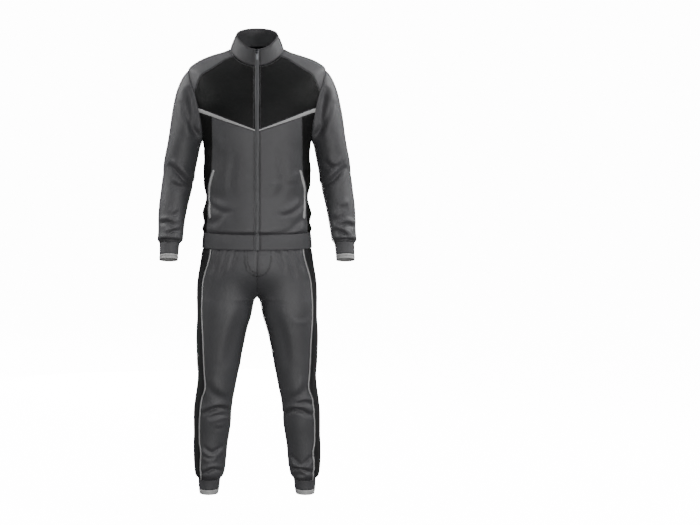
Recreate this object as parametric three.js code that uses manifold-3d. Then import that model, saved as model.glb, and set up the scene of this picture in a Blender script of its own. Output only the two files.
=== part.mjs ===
// A zip-up track jacket and trousers, worn form with no wearer, in millimetres.
// Z is up, the front faces -Y and +X is the wearer's left. The origin lies between the shoulders,
// on the line that joins the two shoulder points. Only the left half is described, and the right
// half is its mirror image.
import * as THREE from "three";
import { mergeVertices } from "three/addons/utils/BufferGeometryUtils.js";
import Module from "manifold-3d";

// Driving sizes
const CLOTH = 2;
const RIB = 2.4;
const SEAM_GAP = 0.3;
const ZIP_HALF = 6.6;
const NECK = 119;
const HEM_TOP = -552;
const HEM_BOTTOM = -602;
const SHOULDER = -32;
const UNDERARM = -260;
const ARM_RING = 279;
const SLEEVE_END = 588;
const CUFF_RIB = 36;
const CUFF_EDGE = 14.5;
const CROTCH = 764;
const WAIST_SEAM = 572;
const WAIST_TOP = 532;
const ANKLE_SEAM = 1363;
const ANKLE_RIB = 32;
const ANKLE_EDGE = 16;

// Colours
const GREY = 0x4b4c4e;
const BLACK = 0x1b1b1c;
const TRIM = 0x9b9b9a;
const STEEL = 0x85868a;

// Small mathematics
const mix = (a, b, t) => a + (b - a) * t;
const clamp = (t) => Math.min(1, Math.max(0, t));
const wrap = (degrees) => (degrees * Math.PI) / 180;
const power = (value, exponent) => Math.sign(value) * Math.abs(value) ** exponent;
const table = (names, rows) => rows.map((row) => Object.fromEntries(names.map((name, k) => [name, row[k]])));

// A smooth value from a table: its first column is the place, the slopes keep rises and falls monotone
function read(rows, key, place) {
  const at = Object.keys(rows[0])[0];
  const last = rows.length - 1;
  if (place <= rows[0][at]) return rows[0][key];
  if (place >= rows[last][at]) return rows[last][key];
  let k = 0;
  while (rows[k + 1][at] < place) k += 1;
  const step = (i) => (rows[i + 1][key] - rows[i][key]) / (rows[i + 1][at] - rows[i][at]);
  const slope = (i) => {
    if (i === 0) return step(0);
    if (i === last) return step(last - 1);
    const [before, after] = [step(i - 1), step(i)];
    return before * after <= 0 ? 0 : (2 * before * after) / (before + after);
  };
  const span = rows[k + 1][at] - rows[k][at];
  const t = (place - rows[k][at]) / span;
  const rise = rows[k + 1][key] - rows[k][key];
  const [m0, m1] = [slope(k) * span, slope(k + 1) * span];
  return rows[k][key] + t * (m0 + t * (3 * rise - 2 * m0 - m1 + t * (m0 + m1 - 2 * rise)));
}

function bisect(f, low, high) {
  let [a, b] = [low, high];
  const rising = f(b) > f(a);
  for (let k = 0; k < 48; k += 1) {
    const m = (a + b) / 2;
    if (f(m) > 0 === rising) b = m;
    else a = m;
  }
  return (a + b) / 2;
}

// Folds: soft troughs (or ridges, where the depth is negative) along arcs on a surface
const FOLD = ["from", "to", "startDrop", "endDrop", "sag", "depth", "width"];

function foldDepth(folds, angle, drop) {
  let depth = 0;
  for (const fold of folds) {
    const t = (angle - fold.from) / (fold.to - fold.from);
    if (t <= 0 || t >= 1) continue;
    const middle = mix(fold.startDrop, fold.endDrop, t) + fold.sag * (1 - (2 * t - 1) ** 2);
    depth += fold.depth * Math.sin(Math.PI * t) * Math.exp(-(((drop - middle) / fold.width) ** 2));
  }
  return depth;
}

// Jacket body: one ring at each station. The side line of a ring is at height side, its front and back
// centres at front and back. half is the half width, fore and aft the depths, square the exponent of its
// outline.
const BODY = table(["v", "half", "side", "front", "back", "fore", "aft", "square"], [
  [-552, 173.5, -552, -553, -552, 111, 118, 2.3],
  [-541, 178, -541, -543, -541, 116, 124, 2.3],
  [-520, 172, -520, -520, -520, 115, 122, 2.3],
  [-494, 176.5, -494, -494, -494, 114, 121, 2.3],
  [-474, 172, -474, -474, -474, 112, 118, 2.35],
  [-439, 164, -439, -439, -439, 110, 114, 2.4],
  [-396, 171.5, -396, -396, -396, 112, 113, 2.4],
  [-357, 172, -357, -357, -357, 115, 116, 2.45],
  [-318, 169.5, -318, -318, -318, 118, 121, 2.5],
  [-279, 171, -279, -279, -279, 121, 126, 2.5],
  [-260, 175, -260, -260, -260, 122, 128, 2.5],
  [-200, 190, -200, -200, -200, 122, 132, 2.5],
  [-150, 204, -150, -150, -150, 120, 132, 2.5],
  [-100, 213, -100, -116, -104, 112, 128, 2.45],
  [-60, 219, -60, -93, -74, 103, 119, 2.4],
  [-32, 220, -32, -75, -52, 96, 110, 2.3],
  [5, 193, -6.5, -58, -21, 89, 98, 2.25],
  [57, 146, 13, -41, 9, 84, 82, 2.1],
  [94, 110, 24, -27, 31, 79, 68, 2.05],
  [119, 86.5, 34, -21, 43, 75, 60, 2],
]);
const SLOPE_POWER = 1.5;

// Shallow folds and swells of the jacket body that show from a step away. Angles go from the front centre.
const BODY_FOLDS = table(FOLD, [
  [20, 88, 512, 470, 14, 5, 15],
  [30, 96, 425, 452, -6, 4, 16],
  [8, 60, 330, 250, 20, -3, 26],
  [86, 128, 420, 500, 8, 5, 17],
  [120, 240, 492, 492, 28, 7, 15],
  [128, 232, 455, 455, 30, -4, 20],
  [100, 158, 250, 330, 10, -3.5, 26],
  [202, 260, 330, 250, 10, -3.5, 26],
  [232, 274, 500, 420, 8, 5, 17],
]);

function bodyRing(v, degrees) {
  const turn = wrap(degrees);
  const [s, c] = [Math.sin(turn), Math.cos(turn)];
  const value = (key) => read(BODY, key, v);
  const exponent = 2 / value("square");
  const side = value("side");
  const centre = c >= 0 ? value("front") : value("back");
  return new THREE.Vector3(
    value("half") * power(s, exponent),
    -(c >= 0 ? value("fore") : value("aft")) * power(c, exponent),
    side + (centre - side) * Math.abs(c) ** SLOPE_POWER,
  );
}

function body(degrees, v) {
  const point = bodyRing(v, degrees);
  const out = new THREE.Vector3(point.x / 172, point.y / 118, 0).normalize();
  return point.addScaledVector(out, -foldDepth(BODY_FOLDS, degrees, -v));
}

// The angle on a ring where it passes half width x, in front or behind
function bodyAngle(x, v, behind = false) {
  const turn = Math.asin(clamp(x / read(BODY, "half", v)) ** (read(BODY, "square", v) / 2));
  const degrees = (turn * 180) / Math.PI;
  return behind ? 180 - degrees : degrees;
}

// Place on the jacket body as seen from the front or the back
function bodyPlace(x, z, behind) {
  const height = (v) => bodyRing(v, bodyAngle(x, v, behind)).z - z;
  const v = bisect(height, -540, NECK);
  return [bodyAngle(x, v, behind), v];
}

// Collar: from the neck seam up to its top edge
const COLLAR_TOP = { half: 66.5, side: 79, front: 32, back: 103, fore: 65, aft: 56, shift: -3 };

function collar(degrees, t) {
  const base = bodyRing(NECK, degrees);
  const turn = wrap(degrees);
  const [s, c] = [Math.sin(turn), Math.cos(turn)];
  const centre = c >= 0 ? COLLAR_TOP.front : COLLAR_TOP.back;
  const top = new THREE.Vector3(
    COLLAR_TOP.half * s,
    COLLAR_TOP.shift - (c >= 0 ? COLLAR_TOP.fore : COLLAR_TOP.aft) * c,
    COLLAR_TOP.side + (centre - COLLAR_TOP.side) * Math.abs(c) ** SLOPE_POWER,
  );
  const bow = 3 * Math.sin(Math.PI * t) - 5 * (1 - t) * t;
  const point = base.lerp(top, t);
  return point.add(new THREE.Vector3(bow * s, -bow * c, 0));
}

// Hem band, a rib tube that hugs the trousers
const HEM = table(["drop", "half", "fore", "aft"], [
  [552, 173.5, 111, 118],
  [575, 176.5, 115, 121],
  [602, 178.5, 117, 123],
]);
const HEM_SQUARE = 2.3;

function hem(degrees, z) {
  const turn = wrap(degrees);
  const [s, c] = [Math.sin(turn), Math.cos(turn)];
  const depth = read(HEM, c >= 0 ? "fore" : "aft", -z);
  const x = read(HEM, "half", -z) * power(s, 2 / HEM_SQUARE);
  const sink = c > 0 ? Math.abs(c) ** SLOPE_POWER : 0;
  return new THREE.Vector3(x, -depth * power(c, 2 / HEM_SQUARE), z - sink);
}

// Armhole, as an angle on the body at each station, on the front and on the back
const ARM_FRONT = table(["v", "angle"], [
  [-260, 90], [-251, 78.5], [-231, 71.5], [-200, 67], [-150, 64.5], [-100, 68], [-60, 74], [-32, 90],
]);
const ARM_BACK = table(["v", "angle"], [
  [-260, 90], [-252, 100], [-231, 108], [-200, 112.5], [-150, 114], [-100, 113], [-60, 107], [-32, 90],
]);
const armFront = (v) => [read(ARM_FRONT, "angle", v), v];
const armBack = (v) => [read(ARM_BACK, "angle", v), v];

// Points of a seam at chosen stations
const along = (curve, stations) => stations.map(curve);
const steps = (from, to, count) => Array.from({ length: count + 1 }, (_, k) => mix(from, to, k / count));

// Yoke seam from the collar down to the armhole, and the two seams of the black side panel
const YOKE_END = -99;
const YOKE_SEAM = table(["v", "angle"], [
  [YOKE_END, armFront(YOKE_END)[0]], [-80, 61], [-60, 57], [-32, 52], [5, 50], [57, 54], [94, 58], [119, 57],
]);
const yokeSeam = (v) => [read(YOKE_SEAM, "angle", v), v];
const SIDE_TOP = 143;
const SIDE_FRONT = table(["z", "x"], [
  [-552, 163.5], [-533, 163], [-504, 160], [-487, 160], [-440, 160], [-422, 160.5], [-348, 147], [-266, 144],
  [-170, 143],
]);
const sideFront = (v) => [bodyAngle(read(SIDE_FRONT, "x", v), v), v];
const SIDE_BACK_TOP = -252;
const sideBack = (v) => [armBack(SIDE_BACK_TOP)[0], v];

// Chest piping, a light band that widens from the zip to the armhole
const PIPE_TOP = { centre: -222, armhole: -155 };
const PIPE_LOW = { centre: -225.5, armhole: -168 };
const pipeEnd = (edge) => body(...armFront(edge.armhole)).x;
const pipeHeight = (edge, x) => mix(edge.centre, edge.armhole, (x - ZIP_HALF) / (pipeEnd(edge) - ZIP_HALF));
const pipeEdge = (edge) => (share) => {
  const x = mix(ZIP_HALF, pipeEnd(edge), share);
  const v = pipeHeight(edge, x);
  return share === 1 ? armFront(edge.armhole) : [bodyAngle(x, v), v];
};
const SIDE_SHARE = (SIDE_TOP - ZIP_HALF) / (pipeEnd(PIPE_LOW) - ZIP_HALF);
const PIPE_SHARES = [...steps(0, SIDE_SHARE, 5), ...steps(SIDE_SHARE, 1, 2).slice(1)];

// Back yoke and the light leaf-shaped stripe under it, as seen from behind
const STRIPE_TIP = 63;
const YOKE_HEM = -49.5;
const STRIPE_ARM = { high: -91, low: -114 };
const STRIPE_HIGH = table(["x", "z"], [[63, -48.7], [104, -58.5], [151, -68], [177, -78], [203, -91]]);
const STRIPE_LOW = table(["x", "z"], [
  [63, -50.3], [104, -70.5], [130, -78], [161, -89], [188.5, -104], [202, -114],
]);

function stripeEdge(edge, height) {
  const end = armBack(height);
  const xEnd = bodyRing(height, end[0]).x;
  const place = (share) => {
    const x = mix(xEnd, STRIPE_TIP, share);
    return share === 0 ? end : bodyPlace(x, read(edge, "z", x), true);
  };
  return along(place, steps(0, 1, 4));
}
const stripeHigh = stripeEdge(STRIPE_HIGH, STRIPE_ARM.high);
const stripeLow = stripeEdge(STRIPE_LOW, STRIPE_ARM.low);
const mirrored = (points) => points.map(([angle, v]) => [360 - angle, v]).reverse();
const yokeMiddle = along((x) => bodyPlace(x, YOKE_HEM, true), [STRIPE_TIP - 3, 30, 0]);
const acrossBack = (edge) => {
  const half = [...edge, ...yokeMiddle];
  return [...half, ...mirrored(half).slice(1)];
};

// The armhole as a loop of stations, from the underarm up the back, over the shoulder and down the front
const ARM = {
  sideBack: along(armBack, [UNDERARM, SIDE_BACK_TOP]),
  back: along(armBack, steps(SIDE_BACK_TOP, STRIPE_ARM.low, 5)),
  stripe: along(armBack, [STRIPE_ARM.low, STRIPE_ARM.high]),
  yokeBack: along(armBack, [STRIPE_ARM.high, -74, -53, SHOULDER]),
  shoulder: along(armFront, [SHOULDER, -53, -76, YOKE_END]),
  chest: along(armFront, steps(YOKE_END, PIPE_TOP.armhole, 3)),
  piping: along(armFront, [PIPE_TOP.armhole, PIPE_LOW.armhole]),
  side: along(armFront, [PIPE_LOW.armhole, -192, -216, -241, UNDERARM]),
};
const joined = (...parts) => parts.reduce((all, part) => [...all, ...part.slice(all.length ? 1 : 0)], []);
const backLoop = joined(ARM.sideBack, ARM.back, ARM.stripe, ARM.yokeBack);
const frontLoop = joined(ARM.shoulder, ARM.chest, ARM.piping, ARM.side);

// Sleeve angles: 0 at the outer line, positive round the front, 180 at the underarm seam. They are shared out
// by arc length.
function turnsOf(loop, from, to) {
  const points = loop.map(([angle, v]) => body(angle, v));
  const lengths = [0];
  for (let k = 1; k < points.length; k += 1) {
    lengths.push(lengths[k - 1] + points[k].distanceTo(points[k - 1]));
  }
  return lengths.map((length) => mix(from, to, length / lengths.at(-1)));
}
const armLoop = joined(backLoop, frontLoop);
const armTurns = [...turnsOf(backLoop, -180, 0), ...turnsOf(frontLoop, 0, 180).slice(1)];
const armTurnAt = (v) => armTurns[armLoop.findIndex(([angle, at]) => angle > 90 && Math.abs(at - v) < 1e-6)];

function armPlace(turn) {
  let k = 0;
  while (k < armTurns.length - 2 && armTurns[k + 1] < turn) k += 1;
  const t = (turn - armTurns[k]) / (armTurns[k + 1] - armTurns[k]);
  return [mix(armLoop[k][0], armLoop[k + 1][0], t), mix(armLoop[k][1], armLoop[k + 1][1], t)];
}

// Sleeve below the armpit: rings that lean forward with the forearm
const SLEEVE = table(["drop", "x", "half", "y", "deep", "lean"], [
  [279, 237.7, 54, 10, 71, 0.0],
  [318, 245, 53.8, 11, 68, 0.02],
  [357, 251, 52, 10, 64, 0.07],
  [396, 256.5, 51, 5, 61, 0.13],
  [435, 263, 48.8, -3, 58, 0.18],
  [474, 269.4, 46.8, -12, 56, 0.22],
  [513, 274, 44, -22, 53, 0.25],
  [552, 277, 41.5, -32, 50, 0.25],
  [574, 279, 41, -38, 47, 0.25],
  [588, 280.6, 32.4, -41, 39, 0.25],
  [626, 282.8, 30.2, -51, 37, 0.25],
  [642, 283.6, 30, -55, 37, 0.25],
]);
const SLEEVE_SQUARE = 2.15;

const SLEEVE_FOLDS = table(FOLD, [
  [10, 130, 372, 400, -14, 6, 12],
  [20, 150, 410, 425, 10, 4, 11],
  [-150, -10, 350, 380, 18, 6, 14],
  [-140, -20, 410, 428, 12, 5, 12],
  [0, 170, 500, 515, 10, 4, 12],
  [-170, -20, 520, 500, 12, 4, 12],
  [-150, 0, 560, 552, 6, 4, 9],
  [10, 150, 553, 560, 6, 4, 9],
]);

function sleeveRing(turn, drop) {
  const value = (key) => read(SLEEVE, key, drop);
  const angle = wrap(turn);
  const exponent = 2 / SLEEVE_SQUARE;
  const dent = 1 - foldDepth(SLEEVE_FOLDS, turn, drop) / value("half");
  const y = -value("deep") * dent * power(Math.sin(angle), exponent);
  const x = value("x") + value("half") * dent * power(Math.cos(angle), exponent);
  return new THREE.Vector3(x, value("y") + y, -drop - value("lean") * y);
}

// Above the first ring each line of the sleeve leaves the armhole outwards and turns down into the arm.
// u runs from 0 at the armhole to 1 at that ring, and then 1 more for each 100 mm.
function sleeve(turn, u) {
  if (u >= 1) return sleeveRing(turn, ARM_RING + (u - 1) * 100);
  const start = body(...armPlace(turn));
  const end = sleeveRing(turn, ARM_RING);
  const angle = wrap(turn);
  const inner = clamp(-Math.cos(angle));
  const leave = new THREE.Vector3(0.76 - 0.5 * inner, -0.22 * Math.sin(angle), -0.66 - 0.4 * inner);
  leave.normalize();
  const arrive = sleeveRing(turn, ARM_RING + 10).sub(end).normalize();
  const length = start.distanceTo(end);
  const [u2, u3] = [u * u, u * u * u];
  const point = start.clone().multiplyScalar(2 * u3 - 3 * u2 + 1);
  point.addScaledVector(leave, 0.78 * length * (u3 - 2 * u2 + u));
  point.addScaledVector(end, 3 * u2 - 2 * u3);
  return point.addScaledVector(arrive, length * (u3 - u2));
}
const sleeveStation = (drop) => 1 + (drop - ARM_RING) / 100;

// Trousers: a leg ring below the crotch, a hip ring above it. Angles go from the outer line, 90 in front,
// 180 at the inseam or the centre seam, and are negative behind.
const LEG = table(["drop", "x", "half", "y", "fore", "aft"], [
  [532, 97.9, 97.3, 0, 108, 130],
  [764, 97.9, 97.3, 0, 108, 130],
  [786.5, 103, 91.8, 0, 106, 127],
  [825, 106.6, 87.8, 1, 101, 122],
  [864, 113.8, 82.9, 2, 96, 116],
  [903, 119, 79.6, 4, 92, 109],
  [942, 122.5, 75.6, 5, 88, 102],
  [981, 125, 71.5, 5, 84, 95],
  [1020, 127.5, 66, 5, 79, 88],
  [1059, 133, 63.7, 5, 74, 82],
  [1098, 140, 62.6, 7, 70, 78],
  [1137, 144, 62, 9, 68, 77],
  [1176, 145, 61, 11, 66, 77],
  [1215, 148, 58, 13, 62, 73],
  [1254, 152.5, 55.5, 14, 59, 69],
  [1293, 154, 53.5, 14, 56, 65],
  [1332, 155, 50, 13, 55, 61],
  [1350, 156, 46, 12, 51, 56],
  [1363, 156.5, 36.6, 12, 42, 45],
  [1395, 157.5, 34, 12, 41, 43],
  [1411, 158, 31, 12, 41, 43],
]);
const LEG_SQUARE = 2.2;
const HIP = table(["drop", "half", "fore", "aft"], [
  [532, 163, 103, 108],
  [552, 168.5, 107, 113],
  [572, 172.6, 110.6, 116.6],
  [602, 175.4, 113.9, 119.9],
  [618, 180, 117, 126],
  [650, 184, 119, 133],
  [690, 190, 119, 139],
  [728, 194, 119, 141],
  [764, 195.2, 118, 140],
]);
const HIP_SQUARE = 2.3;
const RISE = { front: 112, back: 142 };
const CROTCH_GAP = 0.6;

const LEG_FOLDS = table(FOLD, [
  [20, 165, 1118, 1150, -14, 7, 11],
  [30, 150, 1150, 1170, 6, 4, 10],
  [25, 175, 1258, 1244, 16, 5, 12],
  [20, 175, 1322, 1340, -6, 6, 9],
  [-175, -25, 925, 950, 26, 5, 14],
  [-170, -30, 1000, 985, 24, 7, 13],
  [-150, -20, 1060, 1110, 12, 5, 13],
  [-175, -20, 1250, 1262, 12, 4, 12],
  [-170, -20, 1335, 1325, 8, 6, 9],
  [100, 176, 700, 790, 10, 4, 16],
  [-176, -100, 830, 720, 8, 5, 18],
]);

function legRing(turn, drop) {
  const value = (key) => read(LEG, key, drop);
  const angle = wrap(turn);
  const exponent = 2 / LEG_SQUARE;
  const deep = turn >= 0 ? value("fore") : value("aft");
  const above = drop < CROTCH;
  const outer = above ? read(HIP, "half", drop) : value("x") + value("half");
  const half = above ? (outer - CROTCH_GAP) / 2 : value("half");
  const dent = 1 - foldDepth(LEG_FOLDS, turn, drop) / half;
  const x = outer - half + half * dent * power(Math.cos(angle), exponent);
  return new THREE.Vector3(x, value("y") - deep * dent * power(Math.sin(angle), exponent), -drop);
}

function hipRing(turn, drop) {
  const angle = wrap(90 * (1 - Math.abs(turn) / 180));
  const deep = read(HIP, turn >= 0 ? "fore" : "aft", drop);
  const x = read(HIP, "half", drop) * power(Math.sin(angle), 2 / HIP_SQUARE);
  return new THREE.Vector3(x, -Math.sign(turn) * deep * power(Math.cos(angle), 2 / HIP_SQUARE), -drop);
}

// From the crotch up the leg's ring opens into the hip's: at the centre seam along the crotch curve, and
// towards the outer line more gently, from EARLY below the crotch.
const EARLY = 90;
const soft = (t) => t * t * (3 - 2 * t);

function leg(turn, drop) {
  if (drop >= CROTCH + EARLY) return legRing(turn, drop);
  const height = turn >= 0 ? RISE.front : RISE.back;
  const rise = clamp((CROTCH - drop) / height);
  const curve = Math.sqrt(1 - (1 - rise) ** 2);
  const slow = soft(clamp((CROTCH + EARLY - drop) / (height + EARLY)));
  const inner = soft(clamp((Math.abs(turn) - 90) / 70));
  return legRing(turn, drop).lerp(hipRing(turn, drop), mix(slow, curve, inner));
}

// The side stripe's seams, as half widths seen from the front and from behind
const STRIPE_FRONT = table(["drop", "x"], [
  [572, 148], [611, 150.5], [718, 175], [799, 178.5], [887, 175.8], [962, 173.5], [1050, 170], [1095, 181.5],
  [1124, 184.6], [1176, 188], [1232, 188.5], [1267, 184], [1313, 186.3], [1363, 184.6],
]);
const STRIPE_BACK = table(["drop", "x"], [
  [572, 145], [611, 148], [692, 169], [773, 174], [829, 175], [897, 170], [936, 170], [988, 178.5],
  [1043, 179.5], [1085, 181.5], [1124, 189.5], [1176, 192.5], [1232, 190], [1287, 186], [1363, 186],
]);
const PIPING_WIDE = 4;

function stripeTurn(edge, drop, sign) {
  const x = read(edge, "x", drop);
  return bisect((turn) => leg(turn * sign, drop).x - x, 4, 120) * sign;
}

// The turn that lies a few millimetres further round the leg
function turnOn(turn, drop, distance) {
  const here = leg(turn, drop);
  const there = leg(turn + 1, drop);
  return turn + distance / here.distanceTo(there);
}

// Normals of a surface, and the shared normals where two surfaces meet at a seam
const seamNormals = new Map();
const keyOf = (point) => [point.x, point.y, point.z].map((value) => value.toFixed(3)).join(" ");

function surfaceNormal(surface, a, b) {
  const lengths = surface === sleeve ? 0.01 : surface === collar ? 0.02 : 1;
  const acrossA = surface(a + 0.6, b).sub(surface(a - 0.6, b));
  const acrossB = surface(a, b + lengths).sub(surface(a, b - lengths));
  return acrossA.cross(acrossB).normalize();
}

function shareNormals(points, first, second) {
  points.forEach((point, k) => {
    const sum = first(k).clone().add(second(k));
    seamNormals.set(keyOf(point), sum.normalize());
  });
}

// The hollow of a panel's grid in a surface's own two measures, between four edges of matching counts
function gridBetween(bottom, top, left, right) {
  const rows = left.length;
  const columns = bottom.length;
  const grid = [];
  for (let i = 0; i < rows; i += 1) {
    const t = i / (rows - 1);
    grid.push([]);
    for (let j = 0; j < columns; j += 1) {
      const s = j / (columns - 1);
      const place = [0, 1].map((k) => {
        const corners = (1 - s) * (1 - t) * bottom[0][k] + s * (1 - t) * bottom.at(-1)[k]
          + (1 - s) * t * top[0][k] + s * t * top.at(-1)[k];
        const edges = mix(bottom[j][k], top[j][k], t) + mix(left[i][k], right[i][k], s);
        return edges - corners;
      });
      grid[i].push(place);
    }
  }
  return grid;
}

// A wall from outer points: rows and columns of places on a surface, quads left out where a place is null
function wall(surface, grid, thickness = CLOTH, lift = 0) {
  const points = [];
  const normals = [];
  const ids = grid.map((row) => row.map((place) => {
    if (!place) return -1;
    const point = surface(...place);
    const normal = seamNormals.get(keyOf(point)) ?? surfaceNormal(surface, ...place);
    points.push(point);
    normals.push(normal.clone());
    return points.length - 1;
  }));
  const quads = [];
  for (let i = 0; i + 1 < ids.length; i += 1) {
    for (let j = 0; j + 1 < ids[i].length; j += 1) {
      const quad = [ids[i][j], ids[i][j + 1], ids[i + 1][j + 1], ids[i + 1][j]];
      if (quad.every((id) => id >= 0)) quads.push(quad);
    }
  }
  return closedWall(points, normals, quads, thickness, lift);
}

// Both sides of a seam cut their edge faces along the same diagonals, which this direction chooses
const SKEW = new THREE.Vector3(0.13, 0.37, 1);

function closedWall(points, normals, quads, thickness, lift) {
  const edges = new Map();
  for (const quad of quads) {
    quad.forEach((from, k) => {
      const to = quad[(k + 1) % 4];
      edges.set(`${from}/${to}`, [from, to]);
    });
  }
  const rim = [...edges.values()].filter(([from, to]) => !edges.has(`${to}/${from}`));
  const inward = new Map();
  for (const [from, to] of rim) {
    const way = points[to].clone().sub(points[from]);
    for (const id of [from, to]) {
      const side = normals[id].clone().cross(way).normalize();
      inward.set(id, [...(inward.get(id) ?? []), side]);
    }
  }
  const outer = points.map((point) => point.clone());
  for (const [id, [one, two]] of inward) {
    const scale = Math.min(2.5, 1 / Math.max(0.2, (1 + one.dot(two)) / 2));
    const way = one.clone().add(two).multiplyScalar(0.5 * scale);
    outer[id].addScaledVector(way, SEAM_GAP / 2);
  }
  const inner = outer.map((point, k) => point.clone().addScaledVector(normals[k], lift - thickness));
  outer.forEach((point, k) => point.addScaledVector(normals[k], lift));
  const count = outer.length;
  const triangles = [];
  for (const [a, b, c, d] of quads) {
    const flat = (p, q) => outer[p].distanceTo(outer[q]);
    const cuts = flat(a, c) <= flat(b, d) ? [[a, b, c], [a, c, d]] : [[a, b, d], [b, c, d]];
    for (const [p, q, r] of cuts) triangles.push(p, q, r, r + count, q + count, p + count);
  }
  const rank = (id) => outer[id].dot(SKEW);
  for (const [from, to] of rim) {
    if (rank(from) < rank(to)) triangles.push(to, from, from + count, to, from + count, to + count);
    else triangles.push(to, from, to + count, from, from + count, to + count);
  }
  return meshData([...outer, ...inner], triangles);
}

function meshData(points, triangles) {
  const geometry = new THREE.BufferGeometry();
  const position = new Float32Array(points.flatMap((point) => point.toArray()));
  geometry.setAttribute("position", new THREE.BufferAttribute(position, 3));
  geometry.setIndex(triangles);
  return mergeVertices(geometry, 1e-4);
}

// A tube's grid, closed by its repeated first column
function tubeQuads(surface, columns, rows, thickness) {
  const points = [];
  const normals = [];
  for (const b of rows) {
    for (const a of columns) {
      const point = surface(a, b);
      points.push(point);
      normals.push((seamNormals.get(keyOf(point)) ?? surfaceNormal(surface, a, b)).clone());
    }
  }
  const wide = columns.length;
  const quads = [];
  for (let i = 0; i + 1 < rows.length; i += 1) {
    for (let j = 0; j < wide; j += 1) {
      const next = (j + 1) % wide;
      quads.push([i * wide + j, i * wide + next, (i + 1) * wide + next, (i + 1) * wide + j]);
    }
  }
  return closedWall(points, normals, quads, thickness, 0);
}

function mirror(geometry) {
  const copy = geometry.clone();
  copy.scale(-1, 1, 1);
  const index = copy.getIndex().array;
  for (let k = 0; k < index.length; k += 3) [index[k], index[k + 1]] = [index[k + 1], index[k]];
  return copy;
}

// Materials and the group
const finish = (color, roughness, metalness = 0) => ({ color, roughness, metalness });
const FABRIC = {
  grey: finish(GREY, 0.75), black: finish(BLACK, 0.7), trim: finish(TRIM, 0.6), rib: finish(GREY, 0.85),
  tape: finish(GREY, 0.8), steel: finish(STEEL, 0.35, 1),
};
const tracksuit = new THREE.Group();

function add(name, fabric, geometry) {
  const mesh = new THREE.Mesh(geometry, new THREE.MeshStandardMaterial(FABRIC[fabric]));
  mesh.name = name;
  tracksuit.add(mesh);
}

function addPair(name, fabric, geometry) {
  add(`${name}_left`, fabric, geometry);
  add(`${name}_right`, fabric, mirror(geometry));
}

// Neck seam stations, shared by the collar and the panels under it
const neckPlace = (angle) => [angle, NECK];
const zipAngle = bodyAngle(ZIP_HALF, NECK);
const SHOULDER_SEAM = 94;
const neckChest = steps(zipAngle, yokeSeam(NECK)[0], PIPE_SHARES.length - 1);
const neckShoulder = steps(yokeSeam(NECK)[0], SHOULDER_SEAM, ARM.shoulder.length - 1);
const neckBack = steps(SHOULDER_SEAM, 360 - SHOULDER_SEAM, acrossBack(stripeHigh).length - 1);
const neckHalf = joined(neckChest, neckShoulder);
const neckLoop = [...joined(neckHalf, neckBack), ...neckHalf.map((angle) => 360 - angle).reverse().slice(1)];

function shareSeamNormals() {
  const armPoints = armLoop.map(([angle, v]) => body(angle, v));
  const onBody = (k) => surfaceNormal(body, ...armLoop[k]);
  const onSleeve = (k) => surfaceNormal(sleeve, armTurns[k], 0.03);
  shareNormals(armPoints, onBody, onSleeve);
  const neckPoints = neckLoop.map((angle) => body(angle, NECK));
  const belowNeck = (k) => surfaceNormal(body, neckLoop[k], NECK - 2);
  const onCollar = (k) => surfaceNormal(collar, neckLoop[k], 0.05);
  shareNormals(neckPoints, belowNeck, onCollar);
}

function addFront() {
  const zip = (v) => [bodyAngle(ZIP_HALF, v), v];
  const yokeStations = [YOKE_END, -68, SHOULDER, 10, 57, 94, NECK];
  const yokeEdge = along(yokeSeam, yokeStations);
  const pipeTop = along(pipeEdge(PIPE_TOP), PIPE_SHARES);
  const pipeLow = along(pipeEdge(PIPE_LOW), PIPE_SHARES);
  const chestOuter = joined([...ARM.chest].reverse(), yokeEdge);
  const chestZip = along(zip, steps(PIPE_TOP.centre, NECK, chestOuter.length - 1));
  const chestGrid = gridBetween(pipeTop, neckChest.map(neckPlace), chestZip, chestOuter);
  addPair("chest_yoke", "black", wall(body, chestGrid));

  const shoulderSeam = yokeStations.map((v, k) => {
    const t = k / (yokeStations.length - 1);
    return [mix(90, SHOULDER_SEAM, Math.min(1, 3 * t)), mix(SHOULDER, NECK, t)];
  });
  const shoulderArm = [...ARM.shoulder].reverse();
  const neckEdge = neckShoulder.map(neckPlace);
  addPair("shoulder_front", "grey", wall(body, gridBetween(shoulderArm, neckEdge, yokeEdge, shoulderSeam)));

  const pipeEnds = [[pipeLow[0], pipeTop[0]], [pipeLow.at(-1), pipeTop.at(-1)]];
  addPair("chest_piping", "trim", wall(body, gridBetween(pipeLow, pipeTop, ...pipeEnds)));

  const rows = [HEM_TOP, -541, -520, -494, -470, -439, -412, -382, -350, -310, -270, -225];
  const top = pipeEdge(PIPE_LOW)(SIDE_SHARE);
  const last = rows.length - 1;
  const evened = (end, bend) => rows.map((v, k) => mix(v, mix(HEM_TOP, end, k / last), (k / last) ** bend));
  const sideRows = [...along(sideFront, evened(top[1], 3).slice(0, -1)), top];
  const zipRows = along(zip, rows.with(-1, PIPE_LOW.centre));
  const hemFront = steps(zip(HEM_TOP)[0], sideRows[0][0], 5).map((angle) => [angle, HEM_TOP]);
  addPair("front", "grey", wall(body, gridBetween(hemFront, pipeLow.slice(0, 6), zipRows, sideRows)));

  const backRows = along(sideBack, evened(SIDE_BACK_TOP, 1.5));
  const sideTop = joined(pipeLow.slice(5), ARM.side, ARM.sideBack);
  const hemSide = steps(sideRows[0][0], backRows[0][0], sideTop.length - 1).map((angle) => [angle, HEM_TOP]);
  addPair("side", "black", wall(body, gridBetween(hemSide, sideTop, sideRows, backRows)));
  return { backRows, shoulderSeam };
}

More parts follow.
